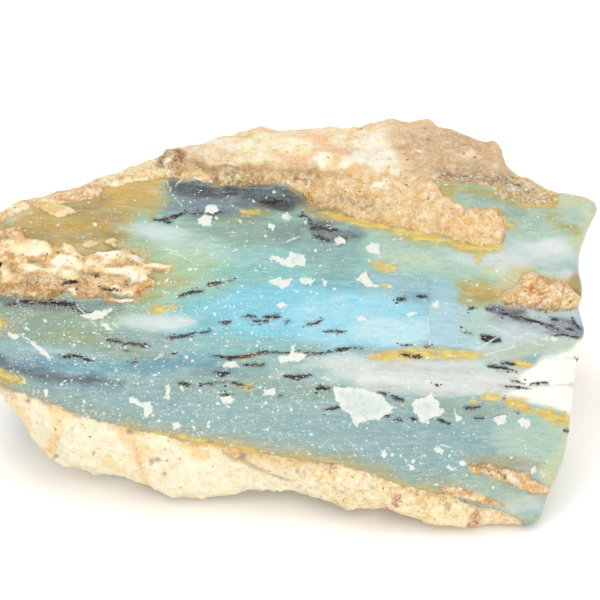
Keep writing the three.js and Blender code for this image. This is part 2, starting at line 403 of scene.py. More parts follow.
# Outlines of white chips
CHIPS = [
    [(205, 208), (211, 205), (218, 207), (218, 213), (212, 216), (206, 214)],
    [(198, 220), (206, 217), (212, 220), (211, 227), (204, 228), (200, 225)],
    [(281, 216), (287, 214), (291, 217), (289, 221), (283, 221)],
    [(267, 224), (275, 225), (274, 231), (269, 229)],
    [(334, 240), (341, 239), (346, 242), (344, 246), (337, 246)],
    [
        (269, 262), (272, 256), (285, 259), (292, 254), (303, 256), (306, 259), (305, 267), (292, 269),
        (280, 266), (276, 261),
    ],
    [(268, 281), (280, 279), (292, 281), (288, 287), (280, 289), (274, 286)],
    [(299, 280), (308, 279), (316, 280), (312, 286), (304, 284)],
    [(321, 280), (328, 280), (326, 286), (322, 285)],
    [(355, 279), (366, 273), (370, 280), (378, 286), (368, 288), (362, 283)],
    [(364, 250), (372, 244), (379, 245), (378, 256), (370, 254)],
    [
        (276, 357), (290, 355), (292, 345), (296, 345), (295, 353), (306, 355), (304, 360), (290, 362),
        (280, 364),
    ],
    [(220, 365), (228, 362), (236, 362), (240, 367), (230, 368), (224, 367)],
    [(263, 390), (276, 389), (277, 394), (264, 395)],
    [(217, 397), (226, 396), (238, 401), (234, 403), (227, 404), (222, 401)],
    [
        (332, 386), (345, 387), (360, 388), (372, 392), (381, 395), (389, 403), (393, 408), (390, 413),
        (382, 417), (374, 420), (366, 421), (360, 421), (358, 428), (353, 423), (350, 416), (342, 409),
        (338, 402), (334, 395),
    ],
    [
        (412, 404), (416, 400), (425, 398), (430, 393), (434, 398), (437, 402), (441, 408), (445, 411),
        (440, 416), (431, 418), (428, 424), (420, 422), (417, 416), (414, 410),
    ],
    [(493, 418), (500, 414), (507, 416), (506, 423), (497, 426)],
    [(516, 421), (522, 417), (530, 420), (530, 427), (521, 428)], [(453, 411), (463, 420), (457, 422)],
    [
        (129, 398), (137, 398), (141, 402), (151, 402), (153, 408), (149, 416), (146, 419), (143, 413),
        (144, 408), (138, 404), (130, 402),
    ],
    [(379, 451), (384, 450), (387, 454), (386, 458), (381, 456)],
    [(433, 449), (439, 447), (445, 450), (442, 454), (435, 453)],
    [(446, 467), (449, 465), (454, 469), (451, 472)], [(458, 462), (463, 460), (467, 464), (463, 466)],
    [(407, 465), (412, 465), (415, 470), (410, 471)], [(277, 305), (282, 303), (286, 306), (281, 309)],
    [(355, 318), (361, 315), (368, 320), (360, 323)], [(406, 314), (413, 312), (418, 315), (410, 317)],
    [(433, 305), (437, 300), (440, 306), (437, 309)],
    [(79, 317), (97, 311), (119, 308), (104, 317), (92, 320)],
    [(172, 425), (177, 423), (182, 426), (179, 429), (174, 428)],
    [(42, 391), (46, 388), (50, 393), (47, 397)], [(164, 386), (170, 384), (171, 397), (167, 399)],
    [(549, 337), (555, 335), (559, 338), (554, 341)], [(531, 467), (536, 466), (537, 473), (533, 474)],
    [(352, 415), (360, 414), (361, 422), (355, 424)], [(8, 334), (14, 332), (21, 337), (14, 339)],
    [(26, 340), (35, 342), (44, 350), (52, 359), (45, 357), (36, 348)],
    [(100, 324), (107, 324), (113, 331), (106, 330)],
]
# Pale scratches, all of one thickness
SCRATCHES = [
    [(167, 182), (172, 195), (183, 208)], [(183, 178), (175, 188)], [(19, 334), (35, 344), (51, 358)],
    [(101, 322), (107, 325), (113, 331)], [(484, 355), (500, 350), (517, 346)],
    [(490, 325), (515, 337), (545, 345)], [(520, 336), (530, 332), (548, 340)], [(164, 249), (178, 252)],
    [(170, 253), (184, 257)], [(285, 243), (300, 237)], [(153, 361), (163, 355)],
    [(454, 409), (457, 420)], [(440, 445), (453, 448)], [(425, 300), (431, 346)], [(79, 308), (97, 326)],
    [(210, 238), (218, 244)], [(476, 350), (498, 336)], [(385, 268), (398, 260)],
    [(516, 438), (524, 441)],
]
# Middles of round specks, by their size
SPECKS = {
    2: [
        (228, 223), (238, 234), (227, 230), (250, 252), (222, 252), (330, 250), (266, 199), (262, 337),
        (252, 349), (201, 408), (280, 423), (48, 376), (204, 433), (342, 427), (415, 455), (427, 456),
        (402, 380), (370, 262), (418, 262), (404, 240), (385, 224), (70, 230),
    ],
    3: [
        (274, 193), (284, 196), (253, 203), (233, 207), (190, 203), (177, 228), (240, 222), (232, 233),
        (237, 250), (259, 267), (212, 256), (228, 266), (265, 247), (158, 283), (156, 270), (305, 223),
        (146, 222), (191, 340), (256, 346), (242, 287), (238, 292), (297, 290), (310, 292), (317, 294),
        (205, 307), (230, 306), (241, 332), (229, 407), (197, 417), (218, 418), (240, 417), (275, 419),
        (291, 409), (301, 401), (299, 405), (316, 407), (260, 388), (218, 391), (332, 361), (27, 324),
        (46, 321), (24, 334), (70, 337), (108, 347), (74, 345), (125, 348), (72, 380), (118, 380),
        (106, 383), (139, 384), (84, 410), (104, 413), (118, 409), (209, 427), (196, 411), (200, 390),
        (71, 396), (202, 432), (320, 447), (362, 450), (405, 460), (401, 456), (449, 455), (455, 468),
        (466, 476), (547, 462), (544, 475), (95, 224), (58, 224), (547, 336),
    ],
    4: [
        (217, 219), (266, 238), (315, 251), (167, 281), (190, 270), (196, 270), (258, 341), (334, 289),
        (215, 314), (265, 403), (247, 408), (209, 423), (181, 388), (193, 361), (186, 357), (190, 339),
        (62, 385), (85, 402), (159, 420), (193, 427), (182, 390), (165, 397), (153, 415), (46, 392),
        (13, 336), (269, 429), (312, 434), (393, 455), (413, 462), (511, 457), (384, 377), (409, 382),
        (427, 382),
    ],
    5: [(10, 335)],
}
# Pale flakes in the golden patch on the left, and over it
FLAKES = [
    [(8, 251), (14, 245), (26, 247), (36, 240), (50, 247), (49, 255), (38, 259), (24, 257)],
    [(60, 243), (67, 241), (75, 248), (81, 257), (74, 257), (66, 252)],
    [(50, 263), (60, 256), (74, 258), (83, 266), (80, 271), (68, 267), (57, 268)],
    [(107, 243), (115, 241), (125, 247), (114, 249)], [(128, 258), (136, 255), (146, 260), (138, 263)],
    [(84, 244), (90, 241), (96, 246), (89, 249)],
    [(95, 257), (102, 250), (113, 251), (126, 249), (122, 256), (108, 260)],
    [
        (95, 266), (104, 270), (118, 271), (130, 268), (142, 272), (151, 276), (144, 282), (132, 284),
        (126, 277), (112, 274), (98, 272),
    ],
    [(68, 289), (75, 289), (79, 297), (73, 296)], [(106, 299), (124, 296), (139, 299), (124, 303)],
    [(111, 288), (118, 287), (120, 294), (113, 294)], [(4, 270), (9, 272), (8, 284), (5, 283)],
    [(145, 266), (158, 264), (171, 267), (160, 269)],
    [(62, 270), (72, 274), (78, 277), (70, 281), (63, 277)], [(20, 268), (32, 266), (44, 270), (30, 273)],
    [(8, 208), (18, 203), (28, 206), (20, 214), (10, 216)],
    [(40, 208), (48, 203), (58, 203), (66, 207), (79, 213), (60, 217), (48, 213)],
]


# --- Colours, as they look in this scene's light, in sRGB bytes ---

# The opal's cream is above 255, as it is burnt out in the picture
OPAL_COLOURS = {
    "grey_sea": (158, 188, 186), "moss": (154, 174, 152), "drab": (180, 178, 152),
    "slate": (100, 112, 118), "denim": (116, 140, 150), "harbour": (116, 166, 182),
    "haze": (148, 180, 184), "reed": (158, 178, 162), "lagoon": (132, 204, 212), "sky": (138, 214, 232),
    "bright_sky": (166, 226, 242), "ice": (184, 220, 230), "glow": (204, 240, 246),
    "steel": (164, 204, 212), "sea": (160, 208, 198), "turquoise": (138, 198, 194),
    "meadow": (180, 208, 168), "fern": (150, 178, 160), "bottle": (138, 178, 172),
    "mint": (188, 213, 194), "sage": (178, 198, 176), "cloud": (214, 230, 226), "milk": (226, 230, 222),
    "snow": (240, 242, 238), "pearl": (212, 208, 200), "dusk": (130, 148, 150),
    "smoke": (104, 114, 120), "soot": (72, 79, 81), "lilac": (178, 182, 196),
    "gunmetal": (104, 106, 114), "olive": (188, 178, 108), "khaki": (176, 150, 96),
    "amber": (198, 174, 104), "honey": (218, 174, 84), "straw": (222, 212, 166),
    "lime": (210, 222, 184), "cream": (276, 272, 258),
}
CRUST_COLOURS = {
    "chalk": (255, 254, 244), "butter": (255, 253, 230), "ivory": (255, 249, 208),
    "sand": (254, 235, 198), "peach": (252, 216, 160), "blush": (236, 214, 194), "tan": (230, 192, 138),
    "gold": (224, 184, 108), "toffee": (212, 178, 144), "clay": (190, 162, 132), "bark": (182, 144, 98),
    "cocoa": (156, 114, 70), "peat": (157, 102, 44), "umber": (146, 128, 108), "rust": (206, 142, 100),
    "brick": (184, 100, 78), "caramel": (218, 164, 92), "coral": (250, 192, 152),
    "plum": (150, 128, 132),
}
MARK_COLOURS = {
    "black": (34, 38, 38), "brown": (126, 96, 64), "ochre": (242, 222, 130), "orange": (228, 190, 100),
    # The last colour on the next line is painted shade for the crust's edge
    "chip": (244, 247, 236), "dust": (238, 246, 244), "crust_edge_shade": (150, 126, 92),
}
ALL_COLOURS = {**OPAL_COLOURS, **CRUST_COLOURS, **MARK_COLOURS}
SURFACE_SHINE = 0.03  # the share of the white studio that a polished face mirrors
OPAL_GAIN = 1.58  # how much brighter the smooth opal looks than its pigment
CRUST_GAIN = 1.04  # the same for the crust, whose hollows shade it


def bytes_to_unit(colour):
    return np.array(colour, float) / 255


def to_pigment(seen, gain):
    """The linear pigment that looks like this sRGB colour in the studio's light."""
    linear = np.where(seen <= 0.04045, seen / 12.92, ((seen + 0.055) / 1.055) ** 2.4)
    return np.clip((linear - SURFACE_SHINE) / gain, 0.004, 0.95)


class Canvas:
    """Washes of named colours, laid one over another at places in the picture."""

    def __init__(self, at, fray, colours, ground):
        self.at = at
        self.fray = fray  # noise that roughens the washes' edges
        self.colours = colours
        self.seen = np.tile(bytes_to_unit(colours[ground]), (len(at), 1))

    def lay(self, name, shape, soft, cover=1.0):
        share = cover * ease(-soft / 2, soft / 2, shape)
        self.seen += (bytes_to_unit(self.colours[name]) - self.seen) * share[:, None]

    def oval(self, name, x, y, across, up, soft, cover, tilt=0, within=np.inf):
        shape = ellipse(self.at, x, y, across, up, tilt) + self.fray * soft / 2
        self.lay(name, np.minimum(shape, within), soft, cover)

    def line(self, name, points, thickness, soft, cover):
        shape = stroke(self.at, points, thickness) + self.fray * soft / 2
        self.lay(name, shape, soft, cover)

    def patch(self, name, points, soft=5, cover=0.9, fray=1.5):
        self.lay(name, outline(self.at, points) + self.fray * fray, soft, cover)

    def washes(self, rows, within=np.inf):
        """Lines as (colour, points, thickness, soft, cover), and
        ovals as (colour, x, y, across, up, soft, cover), with a tilt if they have one."""
        for name, *shape in rows:
            if isinstance(shape[0], list):
                self.line(name, *shape)
            else:
                self.oval(name, *shape, within=within)


def blue_band(at):
    return all_of([below(at, STEP_LINE), -below(at, BLUE_FOOT)])


def paint_opal(at, fray):
    c = Canvas(at, fray, OPAL_COLOURS, "grey_sea")
    low_rim = [(x, y - 6) for x, y in LOWER_RIM]
    # The low bands, under the blue one
    c.washes([
        ("moss", [(-40, 318), (60, 326), (120, 342), (150, 344)], 34, 16, 0.95),
        ("haze", [(120, 330), (180, 342), (250, 346)], 18, 14, 0.7),
        ("turquoise", 20, 340, 40, 14, 14, 0.3),
        ("cloud", [(-10, 346), (50, 352), (100, 356)], 4, 7, 0.45),
        ("harbour", [(20, 364), (75, 368), (120, 368), (215, 362)], 13, 9, 0.85),
        ("denim", [(-40, 352), (10, 362), (40, 374), (75, 382), (120, 384)], 13, 10, 0.9),
        ("slate", [(10, 368), (34, 375), (70, 380), (104, 381)], 5, 6, 0.9),
        ("slate", [(-30, 350), (8, 360)], 7, 8, 0.7),
        ("slate", [(8, 374), (34, 380), (60, 386)], 8, 9, 0.5),
        ("haze", [(40, 392), (120, 396), (180, 398)], 16, 14, 0.6), ("fern", 240, 388, 70, 9, 12, 0.5, 2),
        ("dusk", 222, 373, 22, 5, 7, 0.6, 2), ("bottle", 268, 370, 44, 5, 8, 0.7),
        ("moss", 325, 390, 40, 9, 12, 0.6, 8), ("moss", 455, 408, 46, 7, 9, 0.7, 2),
        ("turquoise", 95, 367, 34, 5, 8, 0.4), ("haze", 430, 430, 130, 14, 16, 0.5, 4),
        ("reed", low_rim, 16, 16, 0.75), ("drab", low_rim[7:16], 12, 12, 0.85),
        ("olive", [(x, y + 4) for x, y in low_rim[6:16]], 5, 6, 0.75),
        ("smoke", [(222, 446), (236, 447)], 2, 3, 0.6), ("mint", 538, 440, 44, 34, 28, 0.9, -10),
        ("lime", [(582, 400), (570, 436), (552, 476)], 26, 18, 0.95), ("straw", 553, 480, 16, 9, 10, 0.6),
        ("cloud", [(505, 500), (540, 505)], 18, 12, 0.8), ("straw", [(520, 516), (545, 520)], 5, 6, 0.6),
        ("drab", 500, 462, 34, 6, 6, 0.85, 4), ("sage", 500, 490, 44, 13, 10, 0.85, 16),
        ("milk", 526, 503, 20, 9, 9, 0.5, -16),
    ])
    # The white band
    c.washes([
        ("cloud", 440, 377, 135, 19, 14, 0.95, 3), ("milk", 420, 374, 96, 13, 12, 0.95, 3),
        ("pearl", [(378, 366), (440, 370), (520, 376)], 5, 7, 0.6),
        ("pearl", [(372, 386), (430, 393), (500, 392)], 7, 8, 0.6),
        ("snow", [(360, 377), (440, 384), (480, 394)], 6, 8, 0.7),
        ("snow", [(470, 376), (500, 380), (540, 382)], 8, 8, 0.7),
        ("milk", [(484, 388), (510, 390), (560, 398)], 12, 8, 0.9),
    ])
    # The blue band
    band = blue_band(at)
    c.washes([
        ("meadow", 130, 314, 60, 16, 14, 0.9), ("fern", 100, 308, 40, 7, 8, 0.7, 4),
        ("lagoon", 232, 318, 64, 50, 16, 0.9), ("sky", 292, 306, 84, 36, 12, 0.95),
        ("lagoon", 200, 296, 26, 7, 6, 0.8, -8), ("grey_sea", 220, 346, 80, 9, 10, 0.8, 2),
        ("turquoise", 262, 348, 66, 6, 8, 0.5), ("bright_sky", 362, 322, 74, 32, 16, 0.95),
        ("glow", 400, 330, 50, 14, 12, 0.9),
    ], band)
    c.lay("ice", all_of([band, at[:, 0] - 428]), 3)
    c.lay("cloud", all_of([band, at[:, 0] - 478 + 4 * fray]), 30, 0.75)
    c.washes([
        ("mint", 486, 322, 28, 24, 20, 0.6), ("steel", 410, 286, 50, 13, 9, 0.9, 3),
        ("harbour", 416, 296, 14, 5, 8, 0.5), ("harbour", 340, 287, 26, 5, 7, 0.5),
    ], band)
    # The high face
    high = -below(at, STEP_LINE)
    c.lay("sea", high, 4)
    c.washes([
        ("meadow", 158, 266, 66, 40, 34, 0.95), ("olive", 166, 282, 28, 7, 9, 0.6, -4),
        ("cloud", 200, 248, 50, 9, 14, 0.5, 8), ("turquoise", 290, 270, 70, 13, 14, 0.85, -4),
        ("turquoise", 250, 249, 30, 8, 10, 0.5), ("fern", 250, 230, 60, 15, 14, 0.95, 2),
        ("dusk", 318, 240, 44, 14, 14, 0.6, 8), ("bottle", 338, 262, 30, 15, 14, 0.8),
        ("mint", 425, 254, 62, 19, 14, 0.95, 8), ("lime", 430, 262, 34, 5, 8, 0.5, 4),
        ("sage", 400, 240, 40, 8, 9, 0.7, 12), ("cloud", 488, 266, 44, 12, 10, 0.95, 8),
        ("dusk", 212, 205, 62, 14, 10, 1.0, 4), ("fern", 300, 214, 30, 10, 10, 0.7, 20),
    ], high)
    c.washes([
        ("khaki", 308, 203, 26, 9, 8, 0.8, 36),
        ("olive", [(322, 213), (369, 225), (422, 238), (470, 248), (503, 248)], 10, 8, 0.7),
        ("olive", 258, 214, 18, 4, 6, 0.6), ("olive", 232, 222, 14, 4, 7, 0.4),
    ])
    # Smoke under the upper crust, with a soot line along the crust's edge that is partly painted shadow
    # under the ledge
    c.washes([
        ("smoke", 200, 189, 38, 9, 7, 0.95, 4), ("smoke", 262, 193, 42, 9, 7, 0.95, 5),
        ("denim", 226, 207, 46, 8, 8, 0.5, 3), ("soot", 184, 188, 22, 8, 6, 0.85, 8),
        # The soot line is partly painted shadow under the ledge's edge
        ("soot", 194, 190, 26, 7, 7, 0.4, 6), ("soot", [(168, 185), (196, 187), (236, 192)], 10, 6, 0.6),
        ("soot", 236, 192, 26, 4, 5, 0.5, 2), ("soot", 272, 203, 17, 7, 6, 0.9, 6),
    ])
    for *place, soft, cover in [
        (190, 188, 34, 10, 6, 8, 0.7), (262, 198, 40, 11, 6, 8, 0.6), (328, 234, 30, 13, 6, 7, 0.7),
    ]:
        c.lay("soot", all_of([ellipse(at, *place), 12 * fray]), soft, cover)
    c.washes([("smoke", 332, 234, 26, 9, 8, 0.8, 4)])
    # The glassy, honey-coloured left corner
    c.washes([
        ("amber", 56, 224, 88, 36, 16, 0.95, -10), ("olive", 112, 230, 22, 18, 14, 0.8),
    ])
    c.patch("honey", [(98, 184), (160, 178), (162, 200), (150, 207), (112, 210), (102, 200)], 6)
    c.washes([
        # The first khaki oval is painted shadow beside the lens-shaped flake
        ("khaki", 85, 205, 24, 9, 6, 0.85, -14), ("khaki", 104, 218, 16, 6, 8, 0.7, 10),
        ("khaki", 80, 246, 62, 20, 16, 0.5, 8), ("honey", 106, 256, 36, 12, 12, 0.7, 6),
        ("straw", 112, 250, 28, 9, 10, 0.7, 4),
        ("olive", [(162, 182), (164, 200), (150, 214)], 10, 8, 0.7),
        ("olive", [(96, 300), (130, 301), (160, 294)], 6, 6, 0.7),
        ("honey", [(20, 218), (60, 228), (100, 224)], 9, 9, 0.6), ("olive", 142, 204, 20, 6, 6, 0.5, -6),
        ("cloud", 14, 216, 12, 5, 5, 0.7, -20),
    ])
    # The right end
    right = at[:, 0] - 506
    c.lay("mint", all_of([right, 262 - at[:, 1]]), 8)
    c.washes([
        ("sage", 530, 216, 30, 15, 12, 0.8), ("fern", 516, 212, 12, 6, 7, 0.5),
        ("haze", 516, 250, 20, 8, 10, 0.5), ("cloud", 538, 254, 44, 13, 10, 0.95, 4),
        ("snow", 552, 249, 24, 7, 8, 0.9, 4),
        ("lime", [(556, 200), (590, 202), (590, 228), (576, 244)], 18, 10, 0.95),
        ("mint", [(446, 268), (480, 274), (526, 274)], 14, 7, 0.95), ("milk", 506, 265, 26, 8, 9, 0.8, 4),
        ("lime", 508, 272, 30, 7, 6, 0.9, 2), ("straw", 583, 199, 9, 6, 6, 0.8),
        ("straw", 540, 207, 20, 3, 5, 0.6), ("olive", [(546, 222), (562, 226), (576, 231)], 9, 10, 0.9),
        ("khaki", [(556, 225), (570, 229)], 3, 5, 0.7), ("lilac", 560, 266, 26, 5, 8, 0.3),
        ("straw", [(520, 277), (560, 279), (590, 282)], 7, 6, 0.85),
        ("milk", [(540, 273), (560, 275), (584, 277)], 8, 6, 0.85),
    ])
    c.patch("milk", [(486, 258), (506, 253), (524, 266), (520, 276), (498, 276)], 5, 0.7)
    sliver = [(436, 187), (452, 180), (480, 184), (500, 192), (522, 203), (512, 209), (480, 208),
              (464, 209), (453, 203)]
    c.patch("sage", sliver, 5, 0.95)
    c.washes([
        ("bottle", [(456, 196), (480, 200), (498, 202)], 5, 6, 0.5),
        ("olive", [(440, 186), (462, 187), (500, 196), (522, 204)], 8, 8, 0.9),
        ("olive", 447, 190, 12, 9, 8, 0.8, 30), ("honey", [(524, 207), (552, 207)], 6, 6, 0.8),
    ])
    c.patch("olive", [(453, 280), (478, 280), (500, 288), (497, 302), (470, 304), (456, 298)], 12, 0.85, 6)
    c.washes([
        ("honey", [(466, 288), (482, 290), (498, 290)], 6, 7, 0.7),
        ("straw", 510, 280, 17, 9, 6, 0.9, -30), ("khaki", 580, 286, 9, 13, 6, 0.8),
        ("khaki", [(474, 296), (492, 298)], 5, 5, 0.6),
    ])
    # Grey smoke at the right of the blue band
    c.washes([
        ("cloud", [(478, 352), (520, 348), (556, 343)], 18, 10, 0.8),
        ("lime", [(486, 354), (524, 350), (548, 345), (576, 340)], 12, 10, 0.7),
        ("pearl", 514, 350, 36, 8, 8, 0.6, -5), ("straw", 530, 350, 36, 6, 8, 0.4, -6),
        ("lilac", [(498, 314), (530, 325), (582, 330)], 22, 12, 0.7),
        ("gunmetal", [(490, 307), (512, 313), (536, 319), (560, 326)], 6, 8, 0.75),
        ("gunmetal", 562, 330, 28, 7, 8, 0.6, 8), ("smoke", [(490, 309), (503, 314)], 4, 5, 0.6),
    ])
    murky = [(496, 309), (540, 312), (584, 322), (584, 340), (556, 336), (530, 326)]
    c.lay("soot", all_of([outline(at, murky), 12 * fray - 2]), 6, 0.6)
    c.lay("cloud", all_of([outline(at, murky), -12 * fray - 3]), 4, 0.7)
    c.washes([
        ("cloud", 566, 337, 16, 4, 5, 0.9, 4), ("lilac", 556, 324, 22, 5, 6, 0.8, 14),
        ("cloud", 518, 332, 26, 8, 10, 0.7, 12), ("mint", 530, 348, 44, 7, 8, 0.7, -6),
        ("pearl", [(520, 340), (560, 344), (584, 344)], 6, 7, 0.5),
    ])
    # The left edge, stained by the crust, and darker just under the golden patch
    c.washes([
        ("olive", 66, 338, 24, 5, 8, 0.4), ("drab", 4, 326, 14, 9, 9, 0.7),
        ("moss", 40, 308, 90, 12, 8, 0.95, 4),
        ("moss", [(-10, 299), (60, 300), (100, 300), (136, 299)], 13, 6, 0.95),
        # A dark grey line just under the golden patch's lower edge
        ("smoke", [(-20, 299), (40, 303), (84, 306), (118, 304)], 9, 8, 0.6),
    ])
    c.patch("amber", [(-30, 362), (4, 366), (26, 379), (20, 387), (-30, 386)], 5, 0.85)
    # Milky clouds in the clear stone, and the weathered end
    c.washes([
        ("cloud", 158, 232, 34, 8, 8, 0.95, 8), ("cloud", 158, 322, 42, 8, 6, 0.95),
        ("snow", 168, 322, 28, 3, 6, 0.5),
    ])
    c.patch("cream", CREAM_END, 9, 1.0, 3)
    c.washes([
        ("pearl", [(500, 390), (540, 386), (575, 384)], 2.5, 3, 0.6),
        ("pearl", [(540, 362), (575, 356)], 2, 3, 0.4),
    ])
    return c.seen


def paint_crust(at, fray, points):
    c = Canvas(at, fray, CRUST_COLOURS, "sand")
    blotches = fractal(points, 5, 3, 40)
    stains = fractal(points, 7, 3, 61)
    c.lay("ivory", blotches, 0.5, 0.7)
    c.lay("peach", -blotches - 0.1, 0.4, 0.7)
    c.lay("tan", stains - 0.3, 0.3, 0.5)
    # The ledge and the block of fine sand above the opal
    c.lay("tan", all_of([at[:, 1] - 170, 262 - at[:, 1], at[:, 0] - 160]) + 5 * fray, 12, 0.9)
    # Painted shade in the crease where the ledge meets the crust behind it, in cocoa and umber patches
    # with sand between
    c.washes([("cocoa", [(176, 171), (230, 176), (262, 180)], 13, 8, 0.7)])
    c.lay("umber", all_of([stroke(at, [(176, 174), (262, 180)], 14), 12 * fray]), 7, 0.7)
    c.lay("sand", all_of([stroke(at, [(176, 174), (262, 182)], 14), -12 * fray - 3]), 4, 0.8)
    c.washes([
        ("bark", [(262, 180), (300, 176), (340, 184)], 14, 8, 0.8),
        ("gold", [(288, 186), (306, 196), (320, 208)], 7, 6, 0.7), ("umber", 238, 181, 20, 6, 8, 0.7),
        ("gold", [(166, 175), (210, 172), (300, 184), (330, 208)], 7, 8, 0.6),
        ("gold", 318, 198, 22, 8, 8, 0.8, 40), ("peach", 340, 186, 26, 6, 10, 0.7, 10),
        ("clay", 352, 204, 30, 6, 9, 0.7, 16), ("chalk", 380, 187, 9, 4, 4, 0.9, 10),
        ("blush", 440, 197, 24, 6, 8, 0.6, 30), ("blush", 426, 175, 17, 4, 6, 0.8, 6),
        ("gold", [(340, 216), (390, 229), (440, 240), (500, 247)], 7, 6, 0.8),
        ("bark", [(296, 190), (312, 204), (350, 218)], 7, 6, 0.8), ("peach", 472, 224, 20, 10, 9, 0.4, 4),
        ("bark", [(502, 212), (504, 240)], 3, 3, 0.5),
    ])
    # The crust behind it, pale with a red stain, and browner to the right
    rear = all_of([-below(at, LEDGE_TOP), at[:, 0] - 178])
    cloudy = 8 * fractal(points, 2.4, 3, 83)
    c.washes([
        ("blush", 214, 150, 44, 14, 14, 0.9, -8), ("ivory", 262, 148, 46, 14, 16, 0.85),
        ("chalk", 368, 150, 26, 17, 12, 0.9),
    ], rear)
    c.lay("chalk", all_of([rear, cloudy - 1, 400 - at[:, 0]]), 3, 0.85)
    c.lay("tan", all_of([rear, -cloudy - 3, 400 - at[:, 0]]), 3, 0.6)
    c.washes([
        ("sand", 326, 128, 66, 10, 10, 0.9, -4), ("coral", 334, 150, 14, 7, 8, 0.7, 30),
        ("coral", 318, 139, 20, 5, 8, 0.7, 30), ("coral", 292, 157, 18, 5, 7, 0.7),
        ("coral", 262, 128, 16, 4, 6, 0.6), ("coral", 364, 126, 16, 4, 6, 0.8),
        ("gold", 246, 136, 9, 4, 5, 0.7), ("toffee", 450, 146, 62, 36, 20, 0.95, 20),
        ("peach", 424, 124, 30, 6, 8, 0.5, 6), ("sand", 470, 157, 9, 5, 5, 0.9),
        # The umber line is painted shade in the crease at the right, over a brown band of clay
        ("clay", [(440, 172), (474, 172), (512, 186), (545, 202)], 16, 12, 0.8),
        ("umber", [(444, 176), (470, 176), (496, 181), (534, 192)], 7, 7, 0.95),
        ("tan", 232, 157, 24, 6, 8, 0.5, -4),
        # The bark and cocoa lines are painted shade in the crease along the ledge's back
        ("bark", [(184, 166), (226, 168), (262, 170), (316, 171)], 9, 10, 0.8),
        ("cocoa", [(198, 168), (226, 170), (266, 172)], 8, 9, 0.5), ("rust", 538, 200, 12, 4, 6, 0.5, 10),
    ])
    # The brown lump and the thin edge at the left
    c.washes([
        ("peat", 171, 161, 15, 9, 4, 1.0, -14), ("umber", 161, 167, 5, 3, 4, 0.8, -10),
        ("tan", [(0, 216), (40, 200), (70, 196), (100, 190)], 16, 8, 0.8),
        ("caramel", [(10, 212), (50, 201), (80, 197), (100, 192)], 8, 6, 0.9),
        ("gold", [(86, 186), (120, 178), (160, 176)], 5, 5, 0.8),
        ("blush", [(30, 196), (60, 189), (100, 180)], 3, 4, 0.8),
        ("ivory", [(110, 174), (130, 171), (150, 163)], 4, 4, 0.7),
        ("ivory", 106, 180, 12, 3, 4, 0.8, -8), ("blush", 18, 206, 18, 8, 6, 0.8, -20),
    ])
    # The golden patch on the left: brown below, with painted shade in its creases and along its lower
    # edge, and pale flakes with painted shadow round them
    left = outline(at, LEFT_PATCH)
    c.lay("caramel", left + 8, 10, 1.0)
    c.lay("peach", all_of([left, blotches * 30 - 6]), 5, 0.6)
    c.washes([("tan", [(-20, 282), (30, 282), (70, 276), (110, 284)], 22, 12, 0.7)])
    c.lay("bark", all_of([left, stains * 30 - 8]), 6, 0.7)
    veins = 14 * fractal(points * BAND_STRETCH, 1.6, 3, 97)
    c.lay("umber", all_of([left, veins - 5]), 3, 0.8)
    c.lay("butter", all_of([left, -veins - 7]), 2, 0.9)
    # Painted shade in the patch's creases and along its lower edge
    c.washes([
        ("cocoa", [(-10, 291), (40, 292), (64, 285), (112, 293)], 13, 8, 0.5),
        ("cocoa", [(-4, 268), (30, 277), (62, 279)], 5, 6, 0.5),
        ("umber", [(20, 297), (50, 298), (76, 290)], 4, 5, 0.8),
    ])
    flakes = in_any(at, FLAKES)
    c.washes([("ivory", 114, 255, 24, 7, 6, 0.8, 4)])
    # Painted shadow in a ragged rim round the lower pale flakes
    c.lay("bark", all_of([flakes + 3, 12 * fray, at[:, 1] - 246]), 4, 0.6)
    c.lay("ivory", flakes + 1 + 3 * fray, 1.6, 1.0)
    c.lay("chalk", all_of([flakes, 2 - 12 * fray]), 4, 0.8)
    c.lay("peach", all_of([flakes + 1, 12 * fray - 3]), 3, 0.7)
    c.washes([
        ("butter", 32, 252, 17, 5, 5, 0.6), ("sand", 60, 208, 24, 8, 3, 0.8, 4),
        ("gold", 48, 207, 12, 4, 4, 0.7, 8),
    ])
    # The rusty patch at the right, and the lens near the foot
    rusty = outline(at, RUST_PATCH)
    c.lay("tan", rusty + 4, 6, 0.9)
    c.washes([
        ("peach", 532, 284, 20, 9, 8, 0.7), ("gold", 564, 305, 14, 6, 5, 0.8),
    ])
    c.lay("rust", all_of([rusty + 2, -blotches * 30 - 2]), 5, 0.6)
    c.lay("gold", all_of([rusty + 2, 520 - at[:, 0], stains * 30]), 6, 0.7)
    # Painted shade along the rusty patch's lower edge
    c.washes([("cocoa", [(500, 303), (518, 307), (545, 312), (575, 309)], 5, 5, 0.8)])
    c.lay("tan", outline(at, FOOT_LENS) + 4, 5, 0.9)
    c.washes([
        ("coral", [(512, 478), (530, 488), (548, 490)], 5, 4, 0.5),
        ("cocoa", [(468, 464), (484, 469), (504, 478)], 4, 4, 0.7), ("cocoa", 483, 471, 5, 3, 3, 0.7),
        ("clay", [(482, 466), (515, 471), (532, 476)], 3, 4, 0.7),
    ])
    c.lay("caramel", outline(at, THIN_LENS) + 4, 4, 0.9)
